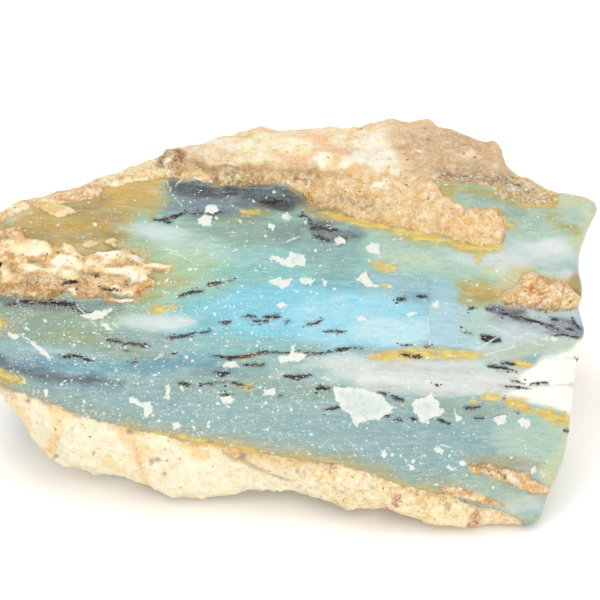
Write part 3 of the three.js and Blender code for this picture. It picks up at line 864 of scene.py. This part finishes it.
    # The low crust: ivory and peach, browner towards the right
    low = below(at, LOWER_RIM)
    front = all_of([low, 200 - at[:, 0] * 0.2])
    c.lay("ivory", all_of([front - 2, blotches * 30 + 20]), 8, 0.85)
    c.lay("butter", all_of([low - 4, stains * 40 + 14, 330 - at[:, 0] + 40 * fray]), 14, 0.9)
    c.lay("peach", all_of([low, -stains * 40 - 14, 8 * fray + 2]), 8, 0.6)
    c.lay("butter", all_of([low - 2, cloudy - 2]), 3, 0.8)
    c.lay("clay", all_of([low + 4, 3.5 - low + 5 * fray]), 3, 0.7)
    c.washes([("gold", [(x, y + 2) for x, y in LOWER_RIM[6:12]], 7, 6, 0.7)])
    c.lay("tan", all_of([low + 4, 13 - low, at[:, 0] - 230 + 20 * fray, 12 * fray + 3]), 8, 0.4)
    for row in [
        (38, 413, 9, 11), (88, 437, 30, 17), (160, 441, 22, 9), (196, 480, 36, 15),
        (265, 480, 30, 8), (345, 492, 26, 6),
    ]:
        c.oval("butter", *row, 10, 0.9, 10)
    c.washes([
        ("peach", [(52, 400), (60, 424), (50, 450)], 11, 9, 0.75),
        ("peach", [(122, 426), (136, 452), (148, 480)], 11, 9, 0.75),
        ("tan", [(132, 446), (146, 476)], 3, 4, 0.7),
    ])
    c.lay("sand", all_of([low, at[:, 0] - 330 + 30 * fray, blotches * 30 + 6]), 16, 0.6)
    c.washes([
        ("blush", [(2, 392), (30, 404)], 5, 5, 0.7), ("brick", 397, 500, 5, 7, 3, 0.95, -20),
        ("brick", 388, 509, 5, 3, 3, 0.7), ("brick", 474, 519, 5, 9, 3, 0.95, 28),
        ("rust", 164, 473, 3, 2, 2, 0.7),
        ("clay", [(223, 453), (250, 464), (270, 471), (289, 481)], 2.5, 3, 0.8),
        ("umber", [(268, 471), (290, 481)], 1.5, 2, 0.6),
    ])
    for x, y, size in [
        (130, 431, 4.5), (243, 456, 5), (329, 462, 5.5), (365, 475, 3.5), (157, 462, 4),
        (298, 471, 3), (57, 439, 3), (56, 456, 3), (72, 428, 3), (28, 401, 3.5), (341, 491, 2),
        (207, 451, 2.5), (273, 453, 3), (151, 463, 3), (370, 486, 4), (447, 507, 4),
    ]:
        c.oval("plum", x, y, size * 0.7, size * 0.5, 2.5, 0.8, 20)
    return c.seen


# --- The stone's mesh: evened out, then finer where the picture looks ---

VOXEL = 0.9
EVENING_ROUNDS = 8  # of relaxing, which smooths out the steps of the voxels
FINE_FACING = 0.12  # how squarely a face looks at the camera to be made finer
STONE = "opal_stone"
FLAT = 0.06  # points lower than this belong to the flat base
# Small corrections to the outline: place in the picture, movement in mm, reach in pixels
NUDGES = [
    ((591, 212), (1.8, 0.5, 0.8), 14), ((588, 258), (-1.25, 0, 0), 25), ((590, 305), (-0.5, 0, 0), 12),
    ((582, 340), (1.1, 0, 0), 16), ((562, 460), (1.0, 0, 0), 35), ((530, 522), (0, -1.2, 0), 20),
    ((425, 515), (0, -1.8, 0), 55), ((30, 452), (0.5, 0, 0.8), 30), ((163, 148), (0, 0, -0.7), 14),
    ((127, 169), (0, 0, 0.6), 14), ((262, 131), (0, 0, 0.8), 22), ((168, 494), (0, -1.6, 0), 16),
    ((345, 123), (0, 0, -0.8), 28), ((494, 147), (0.2, 0, 1.0), 8), ((514, 169), (-0.4, 0, -0.9), 12),
]


def gather(collection, attribute, width=1, kind=np.float32):
    found = np.empty(len(collection) * width, kind)
    collection.foreach_get(attribute, found)
    return found.reshape(-1, width) if width > 1 else found


def edges_of(mesh):
    return gather(mesh.edges, "vertices", 2, np.int32)


def relaxed(values, edges, rounds, share=0.5):
    """Values at vertices, each moved some way towards the mean of its neighbours."""
    count = np.bincount(edges.ravel(), minlength=len(values))[:, None]
    for _ in range(rounds):
        total = np.zeros_like(values)
        for axis in range(values.shape[1]):
            for here, there in (edges.T, edges.T[::-1]):
                total[:, axis] += np.bincount(here, values[there, axis], len(values))
        values = values + share * (total / count - values)
    return values


def points_of(mesh):
    return gather(mesh.vertices, "co", 3).astype(float) / METRES


def set_points(mesh, points):
    mesh.vertices.foreach_set("co", (points * METRES).astype(np.float32).ravel())
    mesh.update()


def smooth_normals(mesh, rounds):
    normals = relaxed(gather(mesh.vertex_normals, "vector", 3).astype(float), edges_of(mesh), rounds)
    return normals / np.linalg.norm(normals, axis=1)[:, None]


def refine(mesh, wanted, rounds):
    """Cut the wanted faces in four, and even the points out again."""
    work = bmesh.new()
    work.from_mesh(mesh)
    edges = dict.fromkeys(edge for face, want in zip(work.faces, wanted) if want for edge in face.edges)
    bmesh.ops.subdivide_edges(work, edges=list(edges), cuts=1, use_grid_fill=True)
    work.to_mesh(mesh)
    work.free()
    set_points(mesh, relaxed(points_of(mesh), edges_of(mesh), rounds))


def nudged(points):
    at = picture_places(points)
    moved = points.copy()
    for place, movement, reach in NUDGES:
        share = np.exp(-((at - place) ** 2).sum(1) / reach**2)
        moved += share[:, None] * np.array(movement)
    moved[:, 2] = np.where(points[:, 2] < FLAT, 0, np.maximum(moved[:, 2], 0))
    return moved


def even_mesh():
    """The CAD stone with even faces, smaller ones where the picture shows them."""
    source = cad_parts[STONE]
    rough = bpy.data.objects.new("rough", source.data.copy())
    bpy.context.scene.collection.objects.link(rough)
    remesh = rough.modifiers.new("even", "REMESH")
    remesh.mode = "VOXEL"
    remesh.voxel_size = VOXEL * METRES
    graph = bpy.context.evaluated_depsgraph_get()
    mesh = bpy.data.meshes.new_from_object(rough.evaluated_get(graph))
    bpy.data.objects.remove(rough)
    set_points(mesh, relaxed(points_of(mesh), edges_of(mesh), EVENING_ROUNDS))
    facing = gather(mesh.polygon_normals, "vector", 3) @ TO_CAMERA > FINE_FACING
    refine(mesh, facing, 2)
    set_points(mesh, nudged(points_of(mesh)))
    return mesh


# --- Where each point of the stone is in the picture, and what it is made of ---

SLOPE = math.radians(42)  # how steeply the long face leans back
SLOPE_OUT = np.array([0, -math.sin(SLOPE), math.cos(SLOPE)])
FACE_OUT = 19.0  # how far out the face lies along SLOPE_OUT
SEAM_DEPTH = 17.0  # how deep the opal goes behind its face
BAND_STRETCH = [0.4, 1, 1]  # noise is drawn out along the opal's bands
BACKWARDS = np.array([0, 0.96, 0.28])
BACK_WINDOWS = [(-17, 19, 15, 4.2, 6), (17, 15, 11, 3.2, -5), (35, 22, 5, 2, 8)]
WINDOW_FACING = 0.45  # how squarely a face looks backwards to have a window
MARK_REACH = 2.0  # marks store distances up to this many millimetres
PATCH_REACH = 60  # patches of crust end where the stone turns away from the camera
PATCHES = [LEFT_PATCH, RUST_PATCH, FOOT_LENS, THIN_LENS, *FLAKES]
# Wobbles, as the size of the noise's cells in mm, their reach in pixels and a seed
STRAYED = (11, 11, 320)  # for what the camera can't see
CRISP = (1.6, 1.7, 200)  # for the crust's edge
FINE = (1.2, 0.9, 240)  # for ink and scratches
TORN = (1.1, 2.0, 260)  # for chips and specks
CLOUDY = (6, 1, 300)  # for the opal's washes


def painted_places(points, normals):
    """Places in the picture. What the camera can't see takes its place from the seam in front."""
    seen = ease(0.02, 0.3, normals @ TO_CAMERA)[:, None]
    depth = FACE_OUT - points @ SLOPE_OUT
    in_front = points + depth[:, None] * SLOPE_OUT
    strayed = picture_places(in_front) + wobble(points, *STRAYED)
    places = seen * picture_places(points) + (1 - seen) * strayed
    return places, depth, seen[:, 0]


def crust_depth(points, normals, at, depth, seen):
    """How far inside the crust each point is, in millimetres, and how far inside a back window."""
    opal_top = any_of([-below(at, TOP_RIM), outline(at, SAND_BLOCK)])
    patched = in_any(at, PATCHES) - PATCH_REACH * (1 - seen)
    crust = any_of([opal_top, below(at, LOWER_RIM), patched]) / PIXELS_PER_MM
    broken = ease(-2, 2, any_of(ellipse(at, *row) for row in BROKEN_EDGES))
    crust = crust + 0.9 * broken * fractal(points * BAND_STRETCH, 1.8, 3, 430)
    behind = depth - SEAM_DEPTH + 2.5 * fractal(points, 9, 3, 17)
    crust = np.maximum(crust, behind)
    wall = points[:, [0, 2]]
    window = any_of(ellipse(wall, *row) for row in BACK_WINDOWS) + 1.6 * fractal(points, 5, 4, 23)
    window = np.where(normals @ BACKWARDS > WINDOW_FACING, window, -3)
    return np.minimum(crust, -window), window


def marked(at, draw, marks, share=1):
    """The distance in mm inside the nearest of some marks, which are listed by their size."""
    reach = MARK_REACH * PIXELS_PER_MM
    best = np.full(len(at), -reach)
    for size, rows in marks.items():
        for points in rows:
            corners = np.array(points, float).reshape(-1, 2)
            near = ((at > corners.min(0) - reach) & (at < corners.max(0) + reach)).all(1)
            best[near] = np.maximum(best[near], draw(at[near], points, share * size))
    return best / PIXELS_PER_MM


# --- Relief ---

# What stands out: how far in mm, the two depths in pixels that its edge rises between, and where
RAISED = [
    (0.7, -0.5, 5, [LEFT_PATCH]), (0.3, -0.6, 0.6, FLAKES), (1.1, -0.5, 6, [RUST_PATCH]),
    (0.5, -0.5, 3, [FOOT_LENS]), (0.5, -1, 3, [SAND_BLOCK]),
]
LUMP = (170, 161, 14, 8, -10)  # the brown lump, as (x, y, across, up, tilt)
SHELLS_FROM = (470, 300)  # the middle of the shell-shaped ridges
SHELLS_IN = (525, 328, 60, 28, 10)
STEP_ACROSS = 428  # where a low step crosses the blue band


def relief(points, normals, at, crust, chips):
    """How far each point stands out along its normal, and how high its sand grains stand from -1 to 1,
    which the crust's colour turns into painted shade in the hollows.
    """
    ripples = 0.16 * fractal(points * BAND_STRETCH, 2.6, 3, 3)
    ripples += 0.3 * fractal(points * BAND_STRETCH, 8, 2, 5)
    across, down = (at - SHELLS_FROM).T
    shells = np.sin(np.hypot(across, down * 1.6) / 4.2)
    shells *= 0.06 * ease(0, 20, ellipse(at, *SHELLS_IN))
    ledge = 0.35 * ease(-3, 3, -below(at, STEP_LINE)) * ease(150, 200, at[:, 0])
    band = blue_band(at)
    steps = -0.22 * ease(STEP_ACROSS - 2, STEP_ACROSS + 2, at[:, 0]) * ease(-3, 3, band)
    opal = ripples + shells + ledge + steps + 0.12 * ease(-0.05, 0.15, chips)

    gap, number = pebbles(points + wobble(points, 3, 0.5, 90)[:, [0, 1, 0]], 2.6, 55)
    lumps = 0.9 * fractal(points, 6, 2, 12)
    grains = (0.7 - gap) * (0.35 + 0.9 * number)
    fine = fractal(points, 0.9, 2, 31)
    rough = 0.96 * lumps + 0.5 * grains + 0.16 * fine + 0.36 * fractal(points, 2.2, 2, 29)
    grain_height = np.clip(grains + 0.6 * fine, -1, 1)

    raised = sum(rise * ease(low, high, in_any(at, where)) for rise, low, high, where in RAISED)
    raised += ease(-1, 6, ellipse(at, *LUMP))
    calm = 1 - 0.5 * ease(-10, 10, outline(at, LEFT_PATCH))
    rough *= 1 + 0.5 * ease(0.1, -0.5, normals @ TO_CAMERA)
    stony = ease(-0.2, 0.35, crust)
    return opal * (1 - stony) + (rough * calm + raised) * stony, grain_height


# --- The map for the baked textures: one sheet for each side of the stone ---

RIGHT = np.array([1, 0, 0])
BEHIND = np.array([0, 1, 0])
ABOVE = np.array([0, 0, 1])
BACK_OUT = np.array([0, 0.95, 0.3])
# Each sheet: the way it faces, its two directions, its scale per mm and its corner on the map
SHEETS = [
    (TO_CAMERA, RIGHT, UP, 0.01005, (0.01, 0.37)),
    (BACK_OUT, -RIGHT, np.array([0, -0.3, 0.95]), 0.0055, (0.005, 0.005)),
    (RIGHT, BEHIND, ABOVE, 0.0050, (0.545, 0.005)),
    (-RIGHT, ABOVE, BEHIND, 0.0034, (0.85, 0.005)),
    (-ABOVE, RIGHT, -BEHIND, 0.0021, (0.56, 0.235)),
]
FRONT_FACING = 0.15  # how squarely a face looks at the camera to be on the first sheet


def lay_out(mesh, normals):
    """Give each face its place on the sheet of the side that it belongs to."""
    points = points_of(mesh)
    corner = gather(mesh.loops, "vertex_index", 1, np.int32)
    starts = gather(mesh.polygons, "loop_start", 1, np.int32)
    sizes = gather(mesh.polygons, "loop_total", 1, np.int32)
    facing = np.add.reduceat(normals[corner], starts) / sizes[:, None]
    closest = np.stack([facing @ sheet[0] for sheet in SHEETS], 1)
    side = np.where(closest[:, 0] > FRONT_FACING, 0, 1 + closest[:, 1:].argmax(1))
    side = np.repeat(side, sizes)
    places = np.zeros((len(corner), 2))
    for number, (_, across, up, scale, start) in enumerate(SHEETS):
        mine = side == number
        flat = points[corner[mine]] @ np.stack([across, up], 1)
        places[mine] = start + (flat - flat.min(0)) * scale
    layer = mesh.uv_layers.new(name="OFBake")
    layer.data.foreach_set("uv", places.astype(np.float32).ravel())


# --- The stone: mesh, relief, colours and marks together ---

FOOT = 1.6  # relief fades out over this height above the floor
BUSY_EDGE = 0.45  # faces this near the crust's edge are made finer
BUSY_MARK = 0.3  # and so are faces this near a mark
INK_SHARE = 0.85  # how thick the ink is drawn, as a share of its listed thickness
SPECK_SHARE = 0.9  # the same for the specks' size
SCRATCH_SIZE = 1  # the scratches' thickness, in pixels
SMOOTHING_ROUNDS = 6  # for the normals that the relief stands out along


def store(mesh, name, values):
    if values.ndim == 1:
        layer = mesh.attributes.new(name, "FLOAT", "POINT")
        layer.data.foreach_set("value", values.astype(np.float32))
    else:
        layer = mesh.attributes.new(name, "FLOAT_COLOR", "POINT")
        full = np.hstack([values, np.ones((len(values), 1))])
        layer.data.foreach_set("color", full.astype(np.float32).ravel())


class Layout:
    """What lies where on the stone, worked out at a mesh's points."""

    def __init__(self, mesh):
        points = points_of(mesh)
        self.points = points
        self.normals = smooth_normals(mesh, SMOOTHING_ROUNDS)
        self.at, depth, seen = painted_places(points, self.normals)
        self.crisp, fine, torn = (self.at + wobble(points, *how) for how in (CRISP, FINE, TORN))
        self.crust, self.window = crust_depth(points, self.normals, self.crisp, depth, seen)
        self.ochre = marked(self.crisp, streak, OCHRE)
        ink = marked(fine, streak, INK, INK_SHARE)
        self.ink = np.where((self.crust > -0.1) & (seen < 0.5), -MARK_REACH, ink)
        self.chips = marked(torn, outline, {0: CHIPS})
        self.specks = marked(torn, spot, SPECKS, SPECK_SHARE)
        self.scratch = marked(fine, stroke, {SCRATCH_SIZE: SCRATCHES})


def dustiness(at):
    """Most of the dust lies on the left and low parts of the opal."""
    left = ease(-50, 50, ellipse(at, 150, 365, 240, 100, 8))
    low = ease(-20, 20, ellipse(at, 430, 462, 60, 24, 10))
    return 0.22 + 0.7 * left + 0.4 * low


def busyness(at):
    """The fine sand is busier on the ledge and in the patches than in the smooth low crust."""
    low = ease(-4, 4, below(at, LOWER_RIM) + 8)
    rear = ease(-6, 6, all_of([174 - at[:, 1], at[:, 0] - 176]))
    patched = ease(-4, 4, in_any(at, [SAND_BLOCK, LEFT_PATCH]))
    return 1 - low * (0.1 + 0.5 * ease(330, 240, at[:, 0])) - 0.55 * rear - 0.3 * patched


def make_stone():
    mesh = even_mesh()
    rough = Layout(mesh)
    marks = any_of([rough.ink, rough.chips, rough.specks])
    busy = (abs(rough.crust) < BUSY_EDGE) | (marks > -BUSY_MARK)
    busy &= rough.normals @ TO_CAMERA > FINE_FACING
    corner = gather(mesh.loops, "vertex_index", 1, np.int32)
    starts = gather(mesh.polygons, "loop_start", 1, np.int32)
    refine(mesh, np.logical_or.reduceat(busy[corner], starts), 1)

    here = Layout(mesh)
    points = here.points
    height, grain_height = relief(points, here.normals, here.crisp, here.crust, here.chips)
    height *= ease(0, FOOT, points[:, 2])
    grown = points + here.normals * height[:, None]
    grown[:, 2] = np.where(points[:, 2] < FLAT, 0, np.maximum(grown[:, 2], 0))
    set_points(mesh, grown)
    lay_out(mesh, here.normals)

    fray = fractal(points * [0.45, 1, 1], 2.4, 4, 410)
    opal = paint_opal(here.at + wobble(points, *CLOUDY) * [6, 3], fray)
    seam = Canvas(here.at, fray, OPAL_COLOURS, "lagoon")
    seam.lay("cloud", fractal(points * [0.3, 1, 1.4], 5, 3, 71), 0.5, 0.8)
    seam.lay("denim", fractal(points * [0.3, 1, 1.4], 4, 3, 73) - 0.1, 0.5, 0.6)
    opal = np.where(here.window[:, None] > -1.5, seam.seen, opal)
    store(mesh, "tint", to_pigment(opal, OPAL_GAIN))
    store(mesh, "crust_tint", to_pigment(paint_crust(here.crisp, fray, points), CRUST_GAIN))
    store(mesh, "crust", np.clip(here.crust, -MARK_REACH, MARK_REACH))
    store(mesh, "grain_height", grain_height)
    for name in ("ochre", "ink", "chips", "specks", "scratch"):
        store(mesh, name, getattr(here, name))
    store(mesh, "dust", dustiness(here.at))
    store(mesh, "speckle", busyness(here.at) * (1 - 0.6 * ease(-2, 0, in_any(here.crisp, FLAKES))))
    return mesh


def make_piece():
    mesh = make_stone()
    mesh.shade_smooth()
    piece = bpy.data.objects.new("banded_opal_stone", mesh)
    bpy.context.scene.collection.objects.link(piece)
    mesh.materials.clear()
    mesh.materials.append(stone_material())
    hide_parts(STONE)
    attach(piece, "root")
    return piece


# --- Material ---

COOL_SHADE = (0.42, 0.60, 0.62, 1)
WARM_SHADE = (0.78, 0.56, 0.33, 1)
OPAL_ROUGHNESS = 0.3
CRUST_ROUGHNESS = 0.9
CHIP_ROUGHNESS = 0.25  # on top of the opal's
SURFACE = {
    "Specular IOR Level": 0.35, "Subsurface Weight": 0.2, "Subsurface Scale": 3 * METRES,
    "Subsurface Radius": (0.8, 1.0, 1.0),
}
BUMP_STRENGTH = 0.8
BUMP_HEIGHT = 0.4
# Grains that tint the sand, with painted shade between them, as cells per mm and how strongly they tint
GRAINS = [(0.62, 0.3), (1.7, 0.45), (3.2, 0.5)]
# Dots in the sand, as cells per mm, colour, the share of cells with one, and its size in cells
SAND_DOTS = [
    (1.2, "tan", 0.16, 0.45), (1.7, "chalk", 0.12, 0.45), (0.9, "plum", 0.08, 0.3),
    (1.5, "rust", 0.1, 0.4), (2.2, "black", 0.07, 0.45),
]
DUST_DOTS = [(1.2, 0.28), (2.2, 0.36), (4.0, 0.45)]  # cells per mm, and size in cells


class Shader:
    """A short way to write a material's nodes. Each method adds some and gives their output."""

    def __init__(self, name):
        self.material = bpy.data.materials.new(name)
        self.material.use_nodes = True
        self.tree = self.material.node_tree
        self.surface = self.tree.nodes["Principled BSDF"].inputs

    def node(self, kind, **settings):
        made = self.tree.nodes.new(kind)
        for key, value in settings.items():
            setattr(made, key, value)
        return made

    def pigment(self, name):
        gain = CRUST_GAIN if name in CRUST_COLOURS else OPAL_GAIN
        return (*to_pigment(bytes_to_unit(ALL_COLOURS[name]), gain), 1)

    def feed(self, socket, value):
        if isinstance(value, bpy.types.NodeSocket):
            self.tree.links.new(value, socket)
        elif isinstance(value, str):
            socket.default_value = self.pigment(value)
        else:
            socket.default_value = value

    def math(self, operation, *values):
        made = self.node("ShaderNodeMath", operation=operation)
        for socket, value in zip(made.inputs, values):
            self.feed(socket, value)
        return made.outputs[0]

    def times(self, *values):
        return self.math("MULTIPLY", *values)

    def roughen(self, value, noise, share):
        return self.math("MULTIPLY_ADD", noise, share, value)

    def ease(self, value, low, high, to_low=0.0, to_high=1.0):
        made = self.node("ShaderNodeMapRange", interpolation_type="SMOOTHSTEP")
        for socket, given in zip(made.inputs, (value, low, high, to_low, to_high)):
            self.feed(socket, given)
        return made.outputs[0]

    def mix(self, cover, under, over, how="MIX"):
        made = self.node("ShaderNodeMix", data_type="RGBA", blend_type=how, clamp_result=True)
        self.feed(made.inputs["Factor"], cover)
        self.feed(made.inputs[6], under)
        self.feed(made.inputs[7], over)
        return made.outputs[2]

    def attribute(self, name, output="Fac"):
        return self.node("ShaderNodeAttribute", attribute_name=name).outputs[output]

    def place(self, *stretch):
        """Object coordinates in millimetres, stretched along each axis."""
        where = self.node("ShaderNodeTexCoord").outputs["Object"]
        made = self.node("ShaderNodeVectorMath", operation="MULTIPLY")
        self.feed(made.inputs[0], where)
        self.feed(made.inputs[1], [s / METRES for s in stretch])
        return made.outputs[0]

    def texture(self, kind, place, scale, **how):
        made = self.node("ShaderNodeTex" + kind)
        for name, value in {"Vector": place, "Scale": scale, **how}.items():
            self.feed(made.inputs[name], value)
        return made.outputs

    def noise(self, place, scale, detail=3.0, roughness=0.55):
        """Noise from about -1 to 1."""
        made = self.texture("Noise", place, scale, Detail=detail, Roughness=roughness)
        return self.roughen(-2.0, made[0], 4.0)

    def warped(self, place, scale, reach):
        """A place moved about by noise, by up to about this many millimetres."""
        stir = self.texture("Noise", place, scale, Detail=3.0)
        made = self.node("ShaderNodeVectorMath", operation="MULTIPLY_ADD")
        self.feed(made.inputs[0], stir["Color"])
        self.feed(made.inputs[1], [2 * reach] * 3)
        self.feed(made.inputs[2], place)
        return made.outputs[0]

    def cells(self, place, scale):
        """The distance to the nearest of scattered spots, and three chances of its own."""
        made = self.texture("Voronoi", place, scale)
        pick = self.node("ShaderNodeSeparateColor")
        self.feed(pick.inputs[0], made["Color"])
        return made["Distance"], pick.outputs

    def vary(self, colour, value, light, dark, pale="snow", shade=COOL_SHADE):
        """Lighten the colour where a noise is high, and shade it where the noise is low."""
        colour = self.mix(self.ease(value, 0.0, 0.7, 0.0, light), colour, pale)
        return self.mix(self.ease(value, 0.0, -0.7, 0.0, dark), colour, shade, "MULTIPLY")

    def dots(self, place, scale, size, share):
        """Where scattered round dots cover: size is in cells, share is how many cells have one."""
        gap, pick = self.cells(place, scale)
        grain = self.times(self.math("POWER", pick[1], 1.5), size)
        inside = self.ease(self.math("SUBTRACT", gap, grain), 0.04, -0.06)
        there = self.math("LESS_THAN", pick[0], share)
        return self.times(inside, there), pick[2]

    def dotted(self, colour, place, dots, over, boldest):
        """A colour with dots over it, each fainter or bolder by chance."""
        cover, bold = self.dots(place, *dots)
        return self.mix(self.times(cover, self.ease(bold, 0.0, 1.0, 0.3, boldest)), colour, over)

    def tinge(self, colour, over, where, value, low, high, most, how="MIX"):
        """A colour with another over it, by more where a value goes from low to high."""
        return self.mix(self.times(where, self.ease(value, low, high, 0.0, most)), colour, over, how)


def opal_colour(s, here, bands, crust):
    """The clear stone: painted bands with fine streaks, ochre veins and a stained edge."""
    opal = s.attribute("tint", "Color")
    streaks = s.noise(bands, 1.6, 6.0, 0.65)
    opal = s.vary(opal, streaks, 0.13, 0.24)
    scuffed = s.ease(s.noise(here, 0.3, 3.0), -0.3, 0.4, 0.04, 0.22)
    opal = s.vary(opal, s.noise(s.place(0.12, 1, 1), 2.8, 4.0, 0.6), scuffed, scuffed)
    opal = s.vary(opal, s.noise(s.place(0.7, 1, 1), 4.5, 4.0, 0.8), 0.14, 0.22)

    frayed = s.noise(bands, 1.5, 6.0, 0.75)
    ochre = s.roughen(s.attribute("ochre"), frayed, 1.0)
    rich = s.mix(s.ease(s.noise(bands, 1.3, 6.0, 0.7), -0.3, 0.4), "ochre", "orange")
    rich = s.vary(rich, s.noise(bands, 4.0, 4.0, 0.7), 0.4, 0.25, "straw", WARM_SHADE)
    opal = s.mix(s.ease(s.attribute("ochre"), -0.7, 0.3, 0.0, 0.5), opal, "olive")
    opal = s.mix(s.ease(ochre, -0.45, 0.4, 0.0, 0.95), opal, rich)
    patchy = s.ease(s.noise(here, 0.25, 4.0), -0.3, 0.6)
    near = s.times(s.ease(crust, -1.2, 0.0), patchy)
    return s.mix(s.times(near, 0.6), opal, "orange"), streaks


def crust_colour(s, here):
    """The sandy crust: grains of every pale colour, painted warm shade in the hollows and between the
    grains, and dark specks.
    """
    sandy = s.attribute("crust_tint", "Color")
    busy = s.attribute("speckle")
    stirred = s.warped(here, 1.1, 0.8)
    for scale, share in GRAINS:
        gap, pick = s.cells(stirred, scale)
        sandy = s.tinge(sandy, "ivory", busy, pick[0], 0.4, 1.0, share)
        sandy = s.tinge(sandy, WARM_SHADE, busy, pick[1], 0.4, 1.0, share, "MULTIPLY")
        # Painted shade between the grains, darker away from each grain's middle
        sandy = s.tinge(sandy, WARM_SHADE, busy, gap, 0.5, 0.9, 0.35, "MULTIPLY")
    mixed = s.roughen(s.noise(here, 0.8, 8.0, 0.75), s.attribute("grain_height"), 0.4)
    sandy = s.tinge(sandy, "chalk", busy, mixed, 0.0, 0.7, 0.55)
    # Painted shade in the hollows between the raised grains: warm, and umber in the deepest
    sandy = s.tinge(sandy, WARM_SHADE, busy, mixed, 0.0, -0.7, 0.65, "MULTIPLY")
    sandy = s.tinge(sandy, "umber", busy, mixed, -0.6, -1.2, 0.7)
    for scale, name, share, size in SAND_DOTS:
        sandy = s.dotted(sandy, stirred, (scale, size, share), name, 0.9)
    return sandy


def add_ink(s, seen, bands, stony):
    """Black and brown dendrites, and painted shade in a few creases of the golden patch: drawn out along
    the bands, with small satellites.
    """
    ink = s.attribute("ink")
    drawn = s.noise(bands, 1.3, 4.0, 0.6)
    broken = s.noise(s.place(0.75, 1, 1), 3.2, 5.0, 0.7)
    halo = s.ease(s.roughen(ink, drawn, 0.25), -0.55, 0.3, 0.0, 0.5)
    seen = s.mix(s.times(halo, s.math("SUBTRACT", 1.0, stony)), seen, "slate")
    core = s.roughen(s.roughen(ink, broken, 0.3), drawn, 0.16)
    seen = s.mix(s.ease(core, -0.12, 0.1, 0.0, 0.6), seen, "brown")
    rusty = s.ease(s.noise(bands, 3.5, 3.0), 0.15, 0.5, 0.95, 0.45)
    seen = s.mix(s.times(s.ease(core, -0.02, 0.14), rusty), seen, "black")
    around = s.ease(ink, -0.9, -0.05, 0.0, 0.45)
    cover, _ = s.dots(s.place(0.6, 1, 1), 2.6, 0.5, around)
    return s.mix(s.times(cover, 0.85), seen, "black")


def add_chips(s, seen, here, stony):
    """White chips, specks, scratches and dust on the polished face."""
    bare = s.math("SUBTRACT", 1.0, stony)
    flaky = s.noise(here, 2.0, 6.0, 0.7)
    chips = s.ease(s.roughen(s.attribute("chips"), flaky, 0.26), -0.05, 0.06)
    veiled = s.times(chips, s.ease(s.noise(here, 1.3, 7.0, 0.75), -0.6, 0.0, 0.6, 1.0))
    deep = s.ease(s.attribute("chips"), 0.4, 1.2, 0.0, 0.6)
    seen = s.mix(veiled, seen, s.mix(deep, "chip", "cloud"))
    specks = s.ease(s.roughen(s.attribute("specks"), flaky, 0.08), -0.06, 0.06)
    seen = s.mix(s.times(specks, 0.9), seen, "chip")
    scratch = s.roughen(s.attribute("scratch"), flaky, 0.07)
    seen = s.mix(s.ease(scratch, -0.14, 0.04, 0.0, 0.75), seen, "dust")
    swept = s.warped(s.place(0.75, 1, 1), 0.9, 0.5)
    clumps = s.ease(s.noise(here, 0.35, 3.0), -0.5, 0.5, 0.2, 1.5)
    dust = s.times(s.times(s.attribute("dust"), clumps), bare)
    for scale, size in DUST_DOTS:
        seen = s.dotted(seen, swept, (scale, size, dust), "dust", 0.95)
    return seen, chips


def stone_material():
    s = Shader("banded_opal")
    here = s.place(1, 1, 1)
    bands = s.place(0.3, 1, 1)
    crust = s.attribute("crust")
    opal, streaks = opal_colour(s, here, bands, crust)
    sandy = crust_colour(s, here)

    # The two meet along a ragged edge, with painted shade along it in places
    ragged = s.roughen(crust, s.noise(here, 1.0, 6.0, 0.68), 0.32)
    stony = s.ease(ragged, -0.06, 0.06)
    seen = s.mix(stony, opal, sandy)
    seam = s.math("SUBTRACT", s.ease(ragged, -0.3, 0.0), s.ease(ragged, 0.0, 0.25))
    seam = s.times(seam, s.ease(s.noise(here, 0.5, 6.0, 0.65), -0.4, 0.8, 0.0, 0.55))
    seen = s.mix(seam, seen, "crust_edge_shade")
    seen = add_ink(s, seen, bands, stony)
    seen, chips = add_chips(s, seen, here, stony)
    s.feed(s.surface["Base Color"], seen)

    gloss = s.ease(stony, 0.0, 1.0, OPAL_ROUGHNESS, CRUST_ROUGHNESS)
    s.feed(s.surface["Roughness"], s.roughen(gloss, chips, CHIP_ROUGHNESS))
    for name, value in SURFACE.items():
        s.feed(s.surface[name], value)

    bump = s.node("ShaderNodeBump")
    s.feed(bump.inputs["Strength"], BUMP_STRENGTH)
    s.feed(bump.inputs["Distance"], BUMP_HEIGHT * METRES)
    rough = s.times(s.noise(here, 1.9, 6.0, 0.7), s.times(stony, 0.7))
    smooth = s.times(s.times(streaks, 0.08), s.math("SUBTRACT", 1.0, stony))
    s.feed(bump.inputs["Height"], s.math("ADD", rough, smooth))
    s.feed(s.surface["Normal"], bump.outputs[0])
    return s.material


make_camera()
make_studio()
make_piece()
